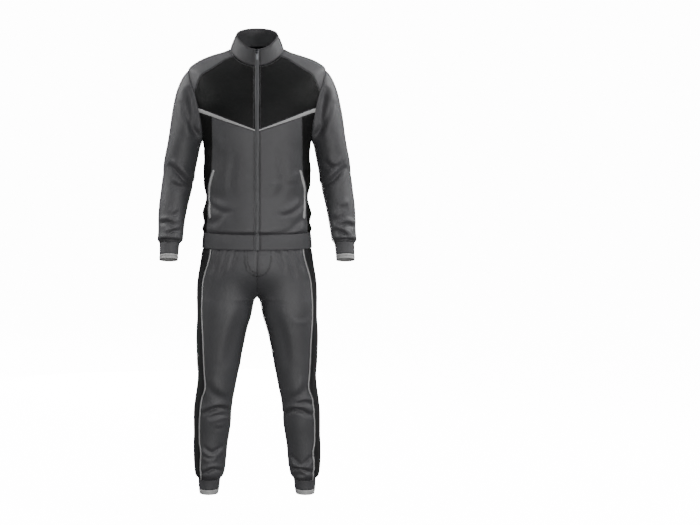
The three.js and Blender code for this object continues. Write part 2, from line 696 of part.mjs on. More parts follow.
function addBack({ backRows, shoulderSeam }) {
  const left = joined(backRows, ARM.back);
  const right = left.map(([angle, v]) => [360 - angle, v]);
  const top = acrossBack(stripeLow);
  const low = steps(backRows[0][0], 360 - backRows[0][0], top.length - 1).map((angle) => [angle, HEM_TOP]);
  add("back", "grey", wall(body, gridBetween(low, top, left, right)));

  const yokeLeft = joined(ARM.yokeBack, shoulderSeam);
  const yokeRight = yokeLeft.map(([angle, v]) => [360 - angle, v]);
  const yokeLow = acrossBack(stripeHigh);
  add("back_yoke", "black", wall(body, gridBetween(yokeLow, neckBack.map(neckPlace), yokeLeft, yokeRight)));

  const ends = [[stripeLow[0], stripeHigh[0]], [stripeLow.at(-1), stripeHigh.at(-1)]];
  addPair("back_stripe", "trim", wall(body, gridBetween(stripeLow, stripeHigh, ...ends)));
}

// Sleeves: the black cap and the light stripe behind run to a point on the outer line
const CAP_ROWS = 5;
const CAP_POINT = 0.6;
const CAP_BEND = 1.25;
const BLUNT = 0.7;
const capEdge = (turn) => steps(0, 1, CAP_ROWS).map((t) => [turn * (1 - t ** CAP_BEND), CAP_POINT * t]);
const blend = (from, to, t) => from.map((value, k) => mix(value, to[k], t));
const between = (from, to, count) => steps(0, 1, count).map((t) => blend(from, to, t));

// The cap and the stripe stop just short of their shared point, where they would have no width
const nearPoint = (curve) => {
  return [...curve.slice(0, -1), blend(curve.at(-2), curve.at(-1), BLUNT)];
};

function addSleeve() {
  const backColumns = armTurns.filter((turn) => turn <= armTurnAt(STRIPE_ARM.low) + 1e-9);
  const frontColumns = armTurns.filter((turn) => turn > 1e-9);
  const stripeOuter = capEdge(armTurnAt(STRIPE_ARM.high));
  const stripeInner = capEdge(armTurnAt(STRIPE_ARM.low));
  const drops = [305, 332, 354, 374, 394, 416, 442, 472, 500, 526, 548, 564, 577, SLEEVE_END];
  const lower = [0.72, 0.86, 1, ...drops.map(sleeveStation)];
  const firstRows = steps(0, CAP_POINT, CAP_ROWS);
  const edgeBehind = [...backColumns.map((turn) => [turn, 0]), ...stripeInner.slice(1)];
  const grid = [...firstRows, ...lower].map((u, i) => {
    const behind = edgeBehind.map(([turn, start], j) => {
      if (i < CAP_ROWS) return j === edgeBehind.length - 1 ? [turn, u] : null;
      const t = (u - CAP_POINT) / (1 - CAP_POINT);
      return [turn, u >= 1 ? u : mix(start, 1, t)];
    });
    return [...behind, ...frontColumns.map((turn) => [turn, u])];
  });
  addPair("sleeve", "grey", wall(sleeve, grid));

  const capLine = firstRows.map((u) => [0, u]);
  const capTurns = armTurns.filter((turn) => turn >= armTurnAt(STRIPE_ARM.high) - 1e-9 && turn < 1e-9);
  const capStart = capTurns.map((turn) => [turn, 0]);
  const [capLeft, capRight] = [nearPoint(stripeOuter), nearPoint(capLine)];
  const capEnd = between(capLeft.at(-1), capRight.at(-1), capTurns.length - 1);
  addPair("sleeve_cap", "black", wall(sleeve, gridBetween(capStart, capEnd, capLeft, capRight)));

  const [low, high] = [nearPoint(stripeInner), nearPoint(stripeOuter)];
  const stripeGrid = gridBetween([low[0], high[0]], [low.at(-1), high.at(-1)], low, high);
  addPair("sleeve_stripe", "trim", wall(sleeve, stripeGrid));

  const cuffTurns = steps(-180, 180, 20).slice(0, -1);
  const cuffRows = [SLEEVE_END, SLEEVE_END + CUFF_RIB].map(sleeveStation);
  const edgeRows = [SLEEVE_END + CUFF_RIB, SLEEVE_END + CUFF_RIB + CUFF_EDGE].map(sleeveStation);
  addPair("cuff", "rib", tubeQuads(sleeve, cuffTurns, cuffRows, RIB));
  addPair("cuff_edge", "trim", tubeQuads(sleeve, cuffTurns, edgeRows, RIB));
}

function addCollar() {
  const atZip = (t) => bisect((angle) => collar(angle, t).x - ZIP_HALF, 0.5, 20);
  const grid = steps(0, 1, 3).map((t) => {
    const edge = t ? atZip(t) : zipAngle;
    return [edge, ...neckLoop.slice(1, -1), 360 - edge].map((angle) => [angle, t]);
  });
  add("collar", "grey", wall(collar, grid, RIB));
}

// Trousers, with the stations where the jacket's hem lies on them shared with the hem band
const LEG_ROWS = [
  WAIST_SEAM, 602, 618, 640, 668, 695, 720, 741, 755, 762, CROTCH, 786, 825, 864, 903, 942, 975, 1008, 1036,
  1062, 1085, 1104, 1122, 1142, 1165, 1195, 1225, 1252, 1280, 1305, 1324, 1342, 1354, ANKLE_SEAM,
];

function legColumns(drop) {
  const front = stripeTurn(STRIPE_FRONT, drop, 1);
  const back = stripeTurn(STRIPE_BACK, drop, -1);
  const frontOuter = turnOn(front, drop, PIPING_WIDE);
  const backOuter = turnOn(back, drop, -PIPING_WIDE);
  return {
    trouser_front: steps(frontOuter, 180, 6),
    leg_piping_front: [front, frontOuter],
    side_stripe: steps(back, front, 3),
    leg_piping_back: [backOuter, back],
    trouser_back: steps(-180, backOuter, 7),
  };
}

function addTrousers() {
  const rows = LEG_ROWS.map((drop) => [drop, legColumns(drop)]);
  const fabrics = {
    trouser_front: "grey",
    trouser_back: "grey",
    side_stripe: "black",
    leg_piping_front: "trim",
    leg_piping_back: "trim",
  };
  for (const [name, fabric] of Object.entries(fabrics)) {
    const grid = rows.map(([drop, columns]) => columns[name].map((turn) => [turn, drop]));
    addPair(name, fabric, wall(leg, grid));
  }
  const ankleTurns = steps(-180, 180, 20).slice(0, -1);
  addPair("ankle_cuff", "rib", tubeQuads(leg, ankleTurns, [ANKLE_SEAM, ANKLE_SEAM + ANKLE_RIB], RIB));
  const edge = ANKLE_SEAM + ANKLE_RIB;
  addPair("ankle_edge", "trim", tubeQuads(leg, ankleTurns, [edge, edge + ANKLE_EDGE], RIB));
}

// The rings round the waist share their stations with the trousers at the hem band's lower edge
function waistAngles() {
  const turns = Object.values(legColumns(-HEM_BOTTOM)).flat();
  const left = turns.map((turn) => 90 - turn / 2).sort((a, b) => a - b);
  const all = [...left, ...left.map((angle) => 360 - angle).reverse()];
  return all.filter((angle, k) => k === 0 || angle - all[k - 1] > 0.5);
}

function addWaist() {
  const around = waistAngles();
  const zip = bodyAngle(ZIP_HALF, HEM_TOP);
  const banded = [zip, ...around.filter((angle) => angle > 3 && angle < 357), 360 - zip];
  const grid = [HEM_BOTTOM, -577, HEM_TOP].map((z) => banded.map((angle) => [angle, z]));
  add("hem_band", "rib", wall(hem, grid, RIB));
  const waist = (degrees, z) => {
    const right = degrees > 180 || degrees < 0;
    const point = hipRing(180 - 2 * (degrees > 180 ? 360 - degrees : Math.abs(degrees)), -z);
    return right ? point.setX(-point.x) : point;
  };
  const ring = around.filter((angle) => angle < 359.9);
  add("waistband", "rib", tubeQuads(waist, ring, [-WAIST_SEAM, -552, -WAIST_TOP], RIB));
}

// Pocket welts: light rounded strips along the front edge of the side panel
const WELT = table(["z", "x"], [
  [-505, 150.5], [-467, 153], [-440, 152.5], [-414, 152], [-383, 147], [-350, 139],
]);
const WELT_HALF = 4.5;
const WELT_LIFT = 3.9;

function addWelts() {
  const rows = [-505, -502, -494, -470, -439, -412, -382, -353, -350].map((z) => {
    const end = Math.min(z + 505, -350 - z) / WELT_HALF;
    const round = end < 1 ? Math.sqrt(1 - (1 - Math.max(end, 0.1)) ** 2) : 1;
    const angle = bodyAngle(read(WELT, "x", z), z);
    const reach = (WELT_HALF * round) / body(angle + 0.5, z).distanceTo(body(angle - 0.5, z));
    return [angle - reach, angle, angle + reach].map((at) => [at, z]);
  });
  addPair("pocket_welt", "trim", wall(body, rows, CLOTH, WELT_LIFT));
}

// Zip: two tapes up the front centre, through hem band, fronts and collar
const TAPE_THICK = 1.6;
const TAPE_OUT = 0.4;

function centreLine() {
  const low = steps(HEM_BOTTOM, HEM_TOP, 3).map((z) => hem(0, z));
  const stations = [
    -541, -520, -494, -470, -439, -412, -382, -350, -310, -270, -225, -160, -100, -60, SHOULDER, 10, 57, 94,
  ];
  const middle = stations.map((v) => body(0, v));
  const high = steps(0, 1, 3).map((t) => collar(0, t));
  return [...low, ...middle, ...high];
}

function addZip() {
  const line = centreLine();
  const tape = (x, k) => line[Math.round(k)].clone().setX(x);
  const normals = (_, k) => {
    const [before, after] = [line[Math.max(0, k - 1)], line[Math.min(line.length - 1, k + 1)]];
    return new THREE.Vector3(1, 0, 0).cross(after.clone().sub(before)).normalize();
  };
  const [points, ways, quads] = [[], [], []];
  line.forEach((_, k) => [0, ZIP_HALF].forEach((x) => {
    points.push(tape(x, k));
    ways.push(normals(x, k));
    if (x && k) quads.push([2 * k - 2, 2 * k - 1, 2 * k + 1, 2 * k]);
  }));
  addPair("zip_tape", "tape", closedWall(points, ways, quads, TAPE_THICK, -TAPE_OUT));
}

// Slider and pull tab at the top of the zip. The pull hangs from the slider's bridge and swings on a pin
// along X.
const PULL = { axisZ: 24.5, axisOut: 2.8, pin: 0.8, arm: 8.5, length: 27, wide: 7.4, thick: 1.6, eye: 4.4 };
const SLIDER = { below: 6.5, high: 13, wide: 10, deep: 3.2, rest: 0.9 };
const BRIDGE = { wide: 1.9, high: 9, room: 1.5, roomHigh: 5.6, bar: 0.9 };
const wasm = await Module();
wasm.setup();

function solidOf(geometry) {
  const bare = geometry.clone();
  bare.deleteAttribute("normal");
  bare.deleteAttribute("uv");
  const merged = mergeVertices(bare, 1e-4);
  const mesh = new wasm.Mesh({
    numProp: 3,
    vertProperties: new Float32Array(merged.getAttribute("position").array),
    triVerts: new Uint32Array(merged.getIndex().array),
  });
  return new wasm.Manifold(mesh);
}

function geometryOf(solid) {
  const mesh = solid.getMesh();
  const geometry = new THREE.BufferGeometry();
  geometry.setAttribute("position", new THREE.BufferAttribute(new Float32Array(mesh.vertProperties), 3));
  geometry.setIndex([...mesh.triVerts]);
  return geometry;
}

// A plate with rounded corners in the XZ plane, from yBack forwards by its thickness
function plate(halfWide, zLow, zHigh, radius, yBack, thick) {
  const shape = new THREE.Shape();
  shape.moveTo(-halfWide + radius, zLow);
  shape.lineTo(halfWide - radius, zLow);
  shape.absarc(halfWide - radius, zLow + radius, radius, -Math.PI / 2, 0, false);
  shape.lineTo(halfWide, zHigh - radius);
  shape.absarc(halfWide - radius, zHigh - radius, radius, 0, Math.PI / 2, false);
  shape.lineTo(-halfWide + radius, zHigh);
  shape.absarc(-halfWide + radius, zHigh - radius, radius, Math.PI / 2, Math.PI, false);
  shape.lineTo(-halfWide, zLow + radius);
  shape.absarc(-halfWide + radius, zLow + radius, radius, Math.PI, Math.PI * 1.5, false);
  const geometry = new THREE.ExtrudeGeometry(shape, { depth: thick, bevelEnabled: false, curveSegments: 3 });
  return solidOf(geometry.rotateX(Math.PI / 2).translate(0, yBack, 0));
}

function block(x, y, z, wide, deep, high) {
  return solidOf(new THREE.BoxGeometry(wide, deep, high).translate(x, y, z));
}

function addSlider() {
  const face = collar(0, 0.88).y - TAPE_OUT - SLIDER.rest;
  const low = PULL.axisZ - SLIDER.below;
  const base = plate(SLIDER.wide / 2, low, low + SLIDER.high, 2.2, face, SLIDER.deep);
  const axisY = face - SLIDER.deep - PULL.axisOut;
  const front = axisY - BRIDGE.room - BRIDGE.bar;
  const back = face - SLIDER.deep / 2;
  const bridge = block(0, (front + back) / 2, PULL.axisZ, BRIDGE.wide, back - front, BRIDGE.high);
  const room = block(0, axisY, PULL.axisZ, BRIDGE.wide * 2, BRIDGE.room * 2, BRIDGE.roomHigh);
  add("zip_slider", "steel", geometryOf(base.add(bridge.subtract(room))));

  const top = PULL.axisZ + PULL.pin;
  const tab = plate(PULL.wide / 2, top - PULL.length, top, 1.3, axisY + PULL.thick / 2, PULL.thick);
  const eye = block(0, axisY, PULL.axisZ - PULL.pin - PULL.arm / 2, PULL.eye, PULL.thick * 2, PULL.arm);
  add("zip_pull", "steel", geometryOf(tab.subtract(eye)));
}

shareSeamNormals();
const sides = addFront();
addBack(sides);
addSleeve();
addCollar();
addTrousers();
addWaist();
addWelts();
addZip();
addSlider();

export default tracksuit;
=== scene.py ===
"""A zip-up track jacket and track trousers, filled out as worn with no wearer.

Cloth sizes are in millimetres and turned to metres where a mesh is made. Angles are in degrees:
round the jacket from the front centre, round a sleeve and a leg from the outer line.
"""
import math

import bpy
import numpy as np
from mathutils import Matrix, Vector, kdtree


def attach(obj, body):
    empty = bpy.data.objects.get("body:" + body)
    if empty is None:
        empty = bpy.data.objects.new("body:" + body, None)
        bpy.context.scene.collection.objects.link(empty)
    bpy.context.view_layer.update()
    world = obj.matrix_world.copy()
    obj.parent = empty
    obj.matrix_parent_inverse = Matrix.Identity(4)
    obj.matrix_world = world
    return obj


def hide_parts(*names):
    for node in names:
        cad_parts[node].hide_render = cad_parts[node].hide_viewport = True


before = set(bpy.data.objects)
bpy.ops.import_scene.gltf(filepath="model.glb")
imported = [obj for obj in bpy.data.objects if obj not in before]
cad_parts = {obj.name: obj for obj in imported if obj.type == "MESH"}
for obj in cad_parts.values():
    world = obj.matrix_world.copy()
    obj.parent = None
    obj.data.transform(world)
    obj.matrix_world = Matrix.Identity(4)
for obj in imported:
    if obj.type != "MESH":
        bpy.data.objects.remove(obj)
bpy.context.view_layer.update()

# Sizes of the cut and the make
MM = 0.001
CLOTH = 1.1
RIB = 1.6
COLLAR_WALL = 2.2
WELT_WALL = 1.6
TAPE_WALL = 0.8
SEAM_LAP = 0.12
ZIP_HALF = 6.6
NECK = 119.0
HEM_TOP = -552.0
HEM_BOTTOM = -602.0
SHOULDER = -32.0
UNDERARM = -260.0
ARM_RING = 279.0
SLEEVE_END = 588.0
CUFF_RIB = 36.0
CUFF_EDGE = 14.5
CROTCH = 764.0
WAIST_SEAM = 572.0
WAIST_TOP = 532.0
ANKLE_SEAM = 1363.0
ANKLE_RIB = 32.0
ANKLE_EDGE = 16.0
FINE = 5

# The photograph's frame: 700 by 525 pixels, its front view and its back view, both 3.25 mm a pixel
PHOTO_WIDE = 700
PIXEL = 3.25
PHOTO_TOP = 60
FRONT_CENTRE = 257
BACK_CENTRE = 472


def mix(a, b, t):
    return a + (b - a) * t


def soft(t):
    t = np.clip(t, 0, 1)
    return t * t * (3 - 2 * t)


def power(value, exponent):
    return np.sign(value) * np.abs(value) ** exponent


def table(names, rows):
    return dict(zip(names.split(), np.array(rows, dtype=float).T))


def read(rows, key, place):
    """A smooth value from a table whose first column is the place; it never overshoots its rows."""
    at, value = next(iter(rows.values())), rows[key]
    place = np.clip(place, at[0], at[-1])
    step = np.diff(value) / np.diff(at)
    before, after = step[:-1], step[1:]
    same = before * after > 0
    inner = np.where(same, 2 * before * after / np.where(same, before + after, 1.0), 0.0)
    slope = np.concatenate([step[:1], inner, step[-1:]])
    k = np.clip(np.searchsorted(at, place, side="right") - 1, 0, len(at) - 2)
    span = at[k + 1] - at[k]
    t = (place - at[k]) / span
    rise = value[k + 1] - value[k]
    m0, m1 = slope[k] * span, slope[k + 1] * span
    return value[k] + t * (m0 + t * (3 * rise - 2 * m0 - m1 + t * (m0 + m1 - 2 * rise)))


def bisect(f, low, high):
    """Where f is zero, for arrays of lows and highs between which it changes sign once."""
    low, high = np.array(low, dtype=float), np.array(high, dtype=float)
    rising = f(high) > f(low)
    for _ in range(44):
        middle = (low + high) / 2
        over = (f(middle) > 0) == rising
        high = np.where(over, middle, high)
        low = np.where(over, low, middle)
    return (low + high) / 2


def xyz(x, y, z):
    return np.stack(np.broadcast_arrays(x, y, z), axis=-1)


def length_of(vectors):
    return np.linalg.norm(vectors, axis=-1)


def unit(vectors):
    return vectors / np.maximum(length_of(vectors)[..., None], 1e-9)


def run_along(line):
    """How far along a line each of its points lies."""
    return np.concatenate([[0], length_of(np.diff(line, axis=0)).cumsum()])


def at_runs(values, run, at):
    """Values given along a line, read at other lengths along it."""
    return np.stack([np.interp(at, run, values[:, k]) for k in range(3)], axis=-1)


def runs_of(points):
    """Lengths across the rows and up the columns of a grid of points, from its first column and row."""
    across = np.pad(length_of(np.diff(points, axis=1)).cumsum(axis=1), ((0, 0), (1, 0)))
    up = np.pad(length_of(np.diff(points, axis=0)).cumsum(axis=0), ((1, 0), (0, 0)))
    return across, up


# Jacket body, one ring at each station
BODY = table("v half side front back fore aft square", [
    (-552, 173.5, -552, -553, -552, 111, 118, 2.3),
    (-541, 178, -541, -543, -541, 116, 124, 2.3),
    (-520, 172, -520, -520, -520, 115, 122, 2.3),
    (-494, 176.5, -494, -494, -494, 114, 121, 2.3),
    (-474, 172, -474, -474, -474, 112, 118, 2.35),
    (-439, 164, -439, -439, -439, 110, 114, 2.4),
    (-396, 171.5, -396, -396, -396, 112, 113, 2.4),
    (-357, 172, -357, -357, -357, 115, 116, 2.45),
    (-318, 169.5, -318, -318, -318, 118, 121, 2.5),
    (-279, 171, -279, -279, -279, 121, 126, 2.5),
    (-260, 175, -260, -260, -260, 122, 128, 2.5),
    (-200, 190, -200, -200, -200, 122, 132, 2.5),
    (-150, 204, -150, -150, -150, 120, 132, 2.5),
    (-100, 213, -100, -116, -104, 112, 128, 2.45),
    (-60, 219, -60, -93, -74, 103, 119, 2.4),
    (-32, 220, -32, -75, -52, 96, 110, 2.3),
    (5, 193, -6.5, -58, -21, 89, 98, 2.25),
    (57, 146, 13, -41, 9, 84, 82, 2.1),
    (94, 110, 24, -27, 31, 79, 68, 2.05),
    (119, 86.5, 34, -21, 43, 75, 60, 2),
])
SLOPE_POWER = 1.5


def body(angle, v):
    turn = np.radians(angle)
    s, c = np.sin(turn), np.cos(turn)
    ahead = c >= 0
    exponent = 2 / read(BODY, "square", v)
    side = read(BODY, "side", v)
    centre = np.where(ahead, read(BODY, "front", v), read(BODY, "back", v))
    depth = np.where(ahead, read(BODY, "fore", v), read(BODY, "aft", v))
    z = side + (centre - side) * np.abs(c) ** SLOPE_POWER
    return xyz(read(BODY, "half", v) * power(s, exponent), -depth * power(c, exponent), z)


def body_angle(x, v, behind=False):
    share = np.clip(x / read(BODY, "half", v), 0, 1)
    angle = np.degrees(np.arcsin(share ** (read(BODY, "square", v) / 2)))
    return 180 - angle if behind else angle


def body_place(x, z, behind):
    """Angle and station of a point given by its place as seen from the front or from behind."""
    x, z = np.broadcast_arrays(np.asarray(x, float), np.asarray(z, float))
    v = bisect(lambda v: body(body_angle(x, v, behind), v)[..., 2] - z, z * 0 - 540, z * 0 + NECK)
    return np.stack([body_angle(x, v, behind), v], axis=-1)


COLLAR_TOP = {"half": 66.5, "side": 79, "front": 32, "back": 103, "fore": 65, "aft": 56, "shift": -3}
RIM_POWER = 0.85
COLLAR_BOW = 3.0
COLLAR_HOLLOW = 5.0


def collar(angle, t):
    base = body(angle, NECK)
    turn = np.radians(angle)
    s, c = np.sin(turn), np.cos(turn)
    centre = np.where(c >= 0, COLLAR_TOP["front"], COLLAR_TOP["back"])
    depth = np.where(c >= 0, COLLAR_TOP["fore"], COLLAR_TOP["aft"])
    side = COLLAR_TOP["side"]
    bend = np.where(c >= 0, SLOPE_POWER, RIM_POWER)
    height = side + (centre - side) * np.abs(c) ** bend
    top = xyz(COLLAR_TOP["half"] * s, COLLAR_TOP["shift"] - depth * c, height)
    bow = COLLAR_BOW * np.sin(np.pi * t) - COLLAR_HOLLOW * (1 - t) * t
    return base + (top - base) * np.asarray(t)[..., None] + xyz(bow * s, -bow * c, 0)


HEM = table("drop half fore aft", [(552, 173.5, 111, 118), (575, 176.5, 115, 121), (602, 178.5, 117, 123)])
HEM_SQUARE = 2.3


def hem(angle, z):
    turn = np.radians(angle)
    s, c = np.sin(turn), np.cos(turn)
    depth = np.where(c >= 0, read(HEM, "fore", -z), read(HEM, "aft", -z))
    sink = np.clip(c, 0, 1) ** SLOPE_POWER
    return xyz(read(HEM, "half", -z) * power(s, 2 / HEM_SQUARE), -depth * power(c, 2 / HEM_SQUARE), z - sink)


# Armholes and seams of the jacket, as angles at stations or as places seen in front or behind
ARM_FRONT = table("v angle", [
    (-260, 90), (-251, 78.5), (-231, 71.5), (-200, 67), (-150, 64.5), (-100, 68), (-60, 74), (-32, 90),
])
ARM_BACK = table("v angle", [
    (-260, 90), (-252, 100), (-231, 108), (-200, 112.5), (-150, 114), (-100, 113), (-60, 107), (-32, 90),
])
YOKE_END = -99.0
YOKE_SEAM = table("v angle", [
    (YOKE_END, float(read(ARM_FRONT, "angle", YOKE_END))),
    (-80, 61), (-60, 57), (-32, 52), (5, 50), (57, 54), (94, 58), (119, 57),
])
SIDE_TOP = 143.0
SIDE_FRONT = table("z x", [
    (-552, 163.5), (-533, 163), (-504, 160), (-487, 160), (-440, 160), (-422, 160.5),
    (-348, 147), (-266, 144), (-170, 143),
])
SIDE_BACK_TOP = -252.0
SHOULDER_SEAM = 94.0


def refine(stations, times=FINE):
    """The stations with the stretches between them cut into equal steps."""
    stations = np.asarray(stations, dtype=float)
    steps = np.arange(times) / times
    inner = [mix(a, b, steps) for a, b in zip(stations[:-1], stations[1:])]
    return np.concatenate([*inner, stations[-1:]])


def steps(start, end, count):
    return np.linspace(start, end, count + 1)


def placed(angle, v):
    return np.stack(np.broadcast_arrays(angle, v), axis=-1).astype(float)


def arm_front(stations):
    v = refine(stations)
    return placed(read(ARM_FRONT, "angle", v), v)


def arm_back(stations):
    v = refine(stations)
    return placed(read(ARM_BACK, "angle", v), v)


def joined(*parts):
    return np.concatenate([part if k == 0 else part[1:] for k, part in enumerate(parts)])


PIPE_TOP = (-222.0, -155.0)
PIPE_LOW = (-225.5, -168.0)


def pipe_end(edge):
    return float(body(read(ARM_FRONT, "angle", edge[1]), edge[1])[0])


def pipe_edge(edge, shares):
    """An edge of the chest piping, from the zip to the armhole."""
    x = mix(ZIP_HALF, pipe_end(edge), shares)
    v = mix(edge[0], edge[1], shares)
    return placed(body_angle(x, v), v)


SIDE_SHARE = (SIDE_TOP - ZIP_HALF) / (pipe_end(PIPE_LOW) - ZIP_HALF)
PIPE_SHARES = refine([*steps(0, SIDE_SHARE, 5), *steps(SIDE_SHARE, 1, 2)[1:]])

STRIPE_TIP = 63.0
YOKE_HEM = -49.5
STRIPE_ARM = {"high": -91.0, "low": -114.0}
STRIPE_HIGH = table("x z", [(63, -48.7), (104, -58.5), (151, -68), (177, -78), (203, -91)])
STRIPE_LOW = table("x z", [(63, -50.3), (104, -70.5), (130, -78), (161, -89), (188.5, -104), (202, -114)])


def stripe_edge(edge, height):
    """An edge of the back stripe, from the armhole to its tip near the middle of the back."""
    angle = float(read(ARM_BACK, "angle", height))
    start = float(body(angle, height)[0])
    x = refine(steps(start, STRIPE_TIP, 4))
    places = body_place(x, read(edge, "z", x), True)
    places[0] = (angle, height)
    return places


def mirrored(places):
    return np.stack([360 - places[::-1, 0], places[::-1, 1]], axis=-1)


STRIPE_HIGH_EDGE = stripe_edge(STRIPE_HIGH, STRIPE_ARM["high"])
STRIPE_LOW_EDGE = stripe_edge(STRIPE_LOW, STRIPE_ARM["low"])
YOKE_MIDDLE = body_place(refine([STRIPE_TIP - 3, 30, 0]), YOKE_HEM, True)


def across_back(edge):
    """The back yoke's lower edge, or the back's upper edge, right across."""
    bridge = mix(edge[-1], YOKE_MIDDLE[0], steps(0, 1, FINE)[:, None])
    half = joined(edge, bridge, YOKE_MIDDLE)
    return joined(half, mirrored(half))


ARM = {
    "side_back": arm_back([UNDERARM, SIDE_BACK_TOP]),
    "back": arm_back(steps(SIDE_BACK_TOP, STRIPE_ARM["low"], 5)),
    "stripe": arm_back([STRIPE_ARM["low"], STRIPE_ARM["high"]]),
    "yoke_back": arm_back([STRIPE_ARM["high"], -74, -53, SHOULDER]),
    "shoulder": arm_front([SHOULDER, -53, -76, YOKE_END]),
    "chest": arm_front(steps(YOKE_END, PIPE_TOP[1], 3)),
    "piping": arm_front([PIPE_TOP[1], PIPE_LOW[1]]),
    "side": arm_front([PIPE_LOW[1], -192, -216, -241, UNDERARM]),
}
BACK_LOOP = joined(ARM["side_back"], ARM["back"], ARM["stripe"], ARM["yoke_back"])
FRONT_LOOP = joined(ARM["shoulder"], ARM["chest"], ARM["piping"], ARM["side"])
ARM_LOOP = joined(BACK_LOOP, FRONT_LOOP)


def turns_of(loop, start, end):
    points = body(loop[:, 0], loop[:, 1])
    run = run_along(points)
    return mix(start, end, run / run[-1])


ARM_TURNS = joined(turns_of(BACK_LOOP, -180, 0), turns_of(FRONT_LOOP, 0, 180))

SLEEVE = table("drop x half y deep lean", [
    (279, 237.7, 54, 10, 71, 0.0),
    (318, 245, 53.8, 11, 68, 0.02),
    (357, 251, 52, 10, 64, 0.07),
    (396, 256.5, 51, 5, 61, 0.13),
    (435, 263, 48.8, -3, 58, 0.18),
    (474, 269.4, 46.8, -12, 56, 0.22),
    (513, 274, 44, -22, 53, 0.25),
    (552, 277, 41.5, -32, 50, 0.25),
    (574, 279, 41, -38, 47, 0.25),
    (588, 280.6, 32.4, -41, 39, 0.25),
    (626, 282.8, 30.2, -51, 37, 0.25),
    (642, 283.6, 30, -55, 37, 0.25),
])
SLEEVE_SQUARE = 2.15
# The way that the sleeve leaves the armhole: outwards, round and down, with less out and more down inside
LEAVE_OUT = 0.76
LEAVE_ROUND = 0.22
LEAVE_DOWN = 0.66
INSIDE_OUT = 0.5
INSIDE_DOWN = 0.4
LEAVE_PULL = 0.78


def sleeve_ring(turn, drop):
    angle = np.radians(turn)
    y = -read(SLEEVE, "deep", drop) * power(np.sin(angle), 2 / SLEEVE_SQUARE)
    x = read(SLEEVE, "x", drop) + read(SLEEVE, "half", drop) * power(np.cos(angle), 2 / SLEEVE_SQUARE)
    return xyz(x, read(SLEEVE, "y", drop) + y, -drop - read(SLEEVE, "lean", drop) * y)


def sleeve(turn, u):
    """u runs from 0 at the armhole to 1 at the first ring, and then 1 more for each 100 mm."""
    turn, u = np.broadcast_arrays(np.asarray(turn, float), np.asarray(u, float))
    ring = sleeve_ring(turn, ARM_RING + (np.maximum(u, 1) - 1) * 100)
    start = body(np.interp(turn, ARM_TURNS, ARM_LOOP[:, 0]), np.interp(turn, ARM_TURNS, ARM_LOOP[:, 1]))
    end = sleeve_ring(turn, np.full(turn.shape, ARM_RING))
    angle = np.radians(turn)
    inner = np.clip(-np.cos(angle), 0, 1)
    down = LEAVE_DOWN + INSIDE_DOWN * inner
    leave = unit(xyz(LEAVE_OUT - INSIDE_OUT * inner, -LEAVE_ROUND * np.sin(angle), -down))
    arrive = unit(sleeve_ring(turn, np.full(turn.shape, ARM_RING + 10)) - end)
    length = length_of(start - end)[..., None]
    t = np.clip(u, 0, 1)[..., None]
    upper = (start * (2 * t**3 - 3 * t**2 + 1) + leave * LEAVE_PULL * length * (t**3 - 2 * t**2 + t)
             + end * (3 * t**2 - 2 * t**3) + arrive * length * (t**3 - t**2))
    return np.where(u[..., None] >= 1, ring, upper)


def sleeve_station(drop):
    return 1 + (np.asarray(drop, float) - ARM_RING) / 100


LEG = table("drop x half y fore aft", [
    (532, 97.6, 97.6, 0, 108, 130),
    (764, 97.6, 97.6, 0, 108, 130),
    (767, 99.4, 95.8, 0, 107.8, 129.7),
    (772, 101.2, 94, 0, 107.4, 129),
    (779, 102.3, 92.6, 0, 106.7, 128),
    (786.5, 103, 91.8, 0, 106, 127),
    (825, 106.6, 87.8, 1, 101, 122),
    (864, 113.8, 82.9, 2, 96, 116),
    (903, 119, 79.6, 4, 92, 109),
    (942, 122.5, 75.6, 5, 88, 102),
    (981, 125, 71.5, 5, 84, 95),
    (1020, 127.5, 66, 5, 79, 88),
    (1059, 133, 63.7, 5, 74, 82),
    (1098, 140, 62.6, 7, 70, 78),
    (1137, 144, 62, 9, 68, 77),
    (1176, 145, 61, 11, 66, 77),
    (1215, 148, 58, 13, 62, 73),
    (1254, 152.5, 55.5, 14, 59, 69),
    (1293, 154, 53.5, 14, 56, 65),
    (1332, 155, 50, 13, 55, 61),
    (1350, 156, 46, 12, 51, 56),
    (1363, 156.5, 36.6, 12, 42, 45),
    (1395, 157.5, 34, 12, 41, 43),
    (1411, 158, 31, 12, 41, 43),
])
LEG_SQUARE = 2.2
HIP = table("drop half fore aft", [
    (532, 163, 103, 108),
    (552, 168.5, 107, 113),
    (572, 172.6, 110.6, 116.6),
    (602, 175.4, 113.9, 119.9),
    (618, 180, 117, 126),
    (650, 184, 119, 133),
    (690, 190, 119, 139),
    (728, 194, 119, 141),
    (764, 195.2, 118, 140),
])
HIP_SQUARE = 2.3
RISE_FRONT = 112.0
RISE_BACK = 142.0
EARLY = 90.0
# From this turn on, and over so many degrees more, the leg follows the crotch curve
CROTCH_FROM = 125.0
CROTCH_OVER = 50.0


def hip(turn, drop):
    angle = np.radians(90 * (1 - np.abs(turn) / 180))
    depth = np.where(turn >= 0, read(HIP, "fore", drop), read(HIP, "aft", drop))
    x = read(HIP, "half", drop) * power(np.sin(angle), 2 / HIP_SQUARE)
    return xyz(x, -np.sign(turn) * depth * power(np.cos(angle), 2 / HIP_SQUARE), -drop)


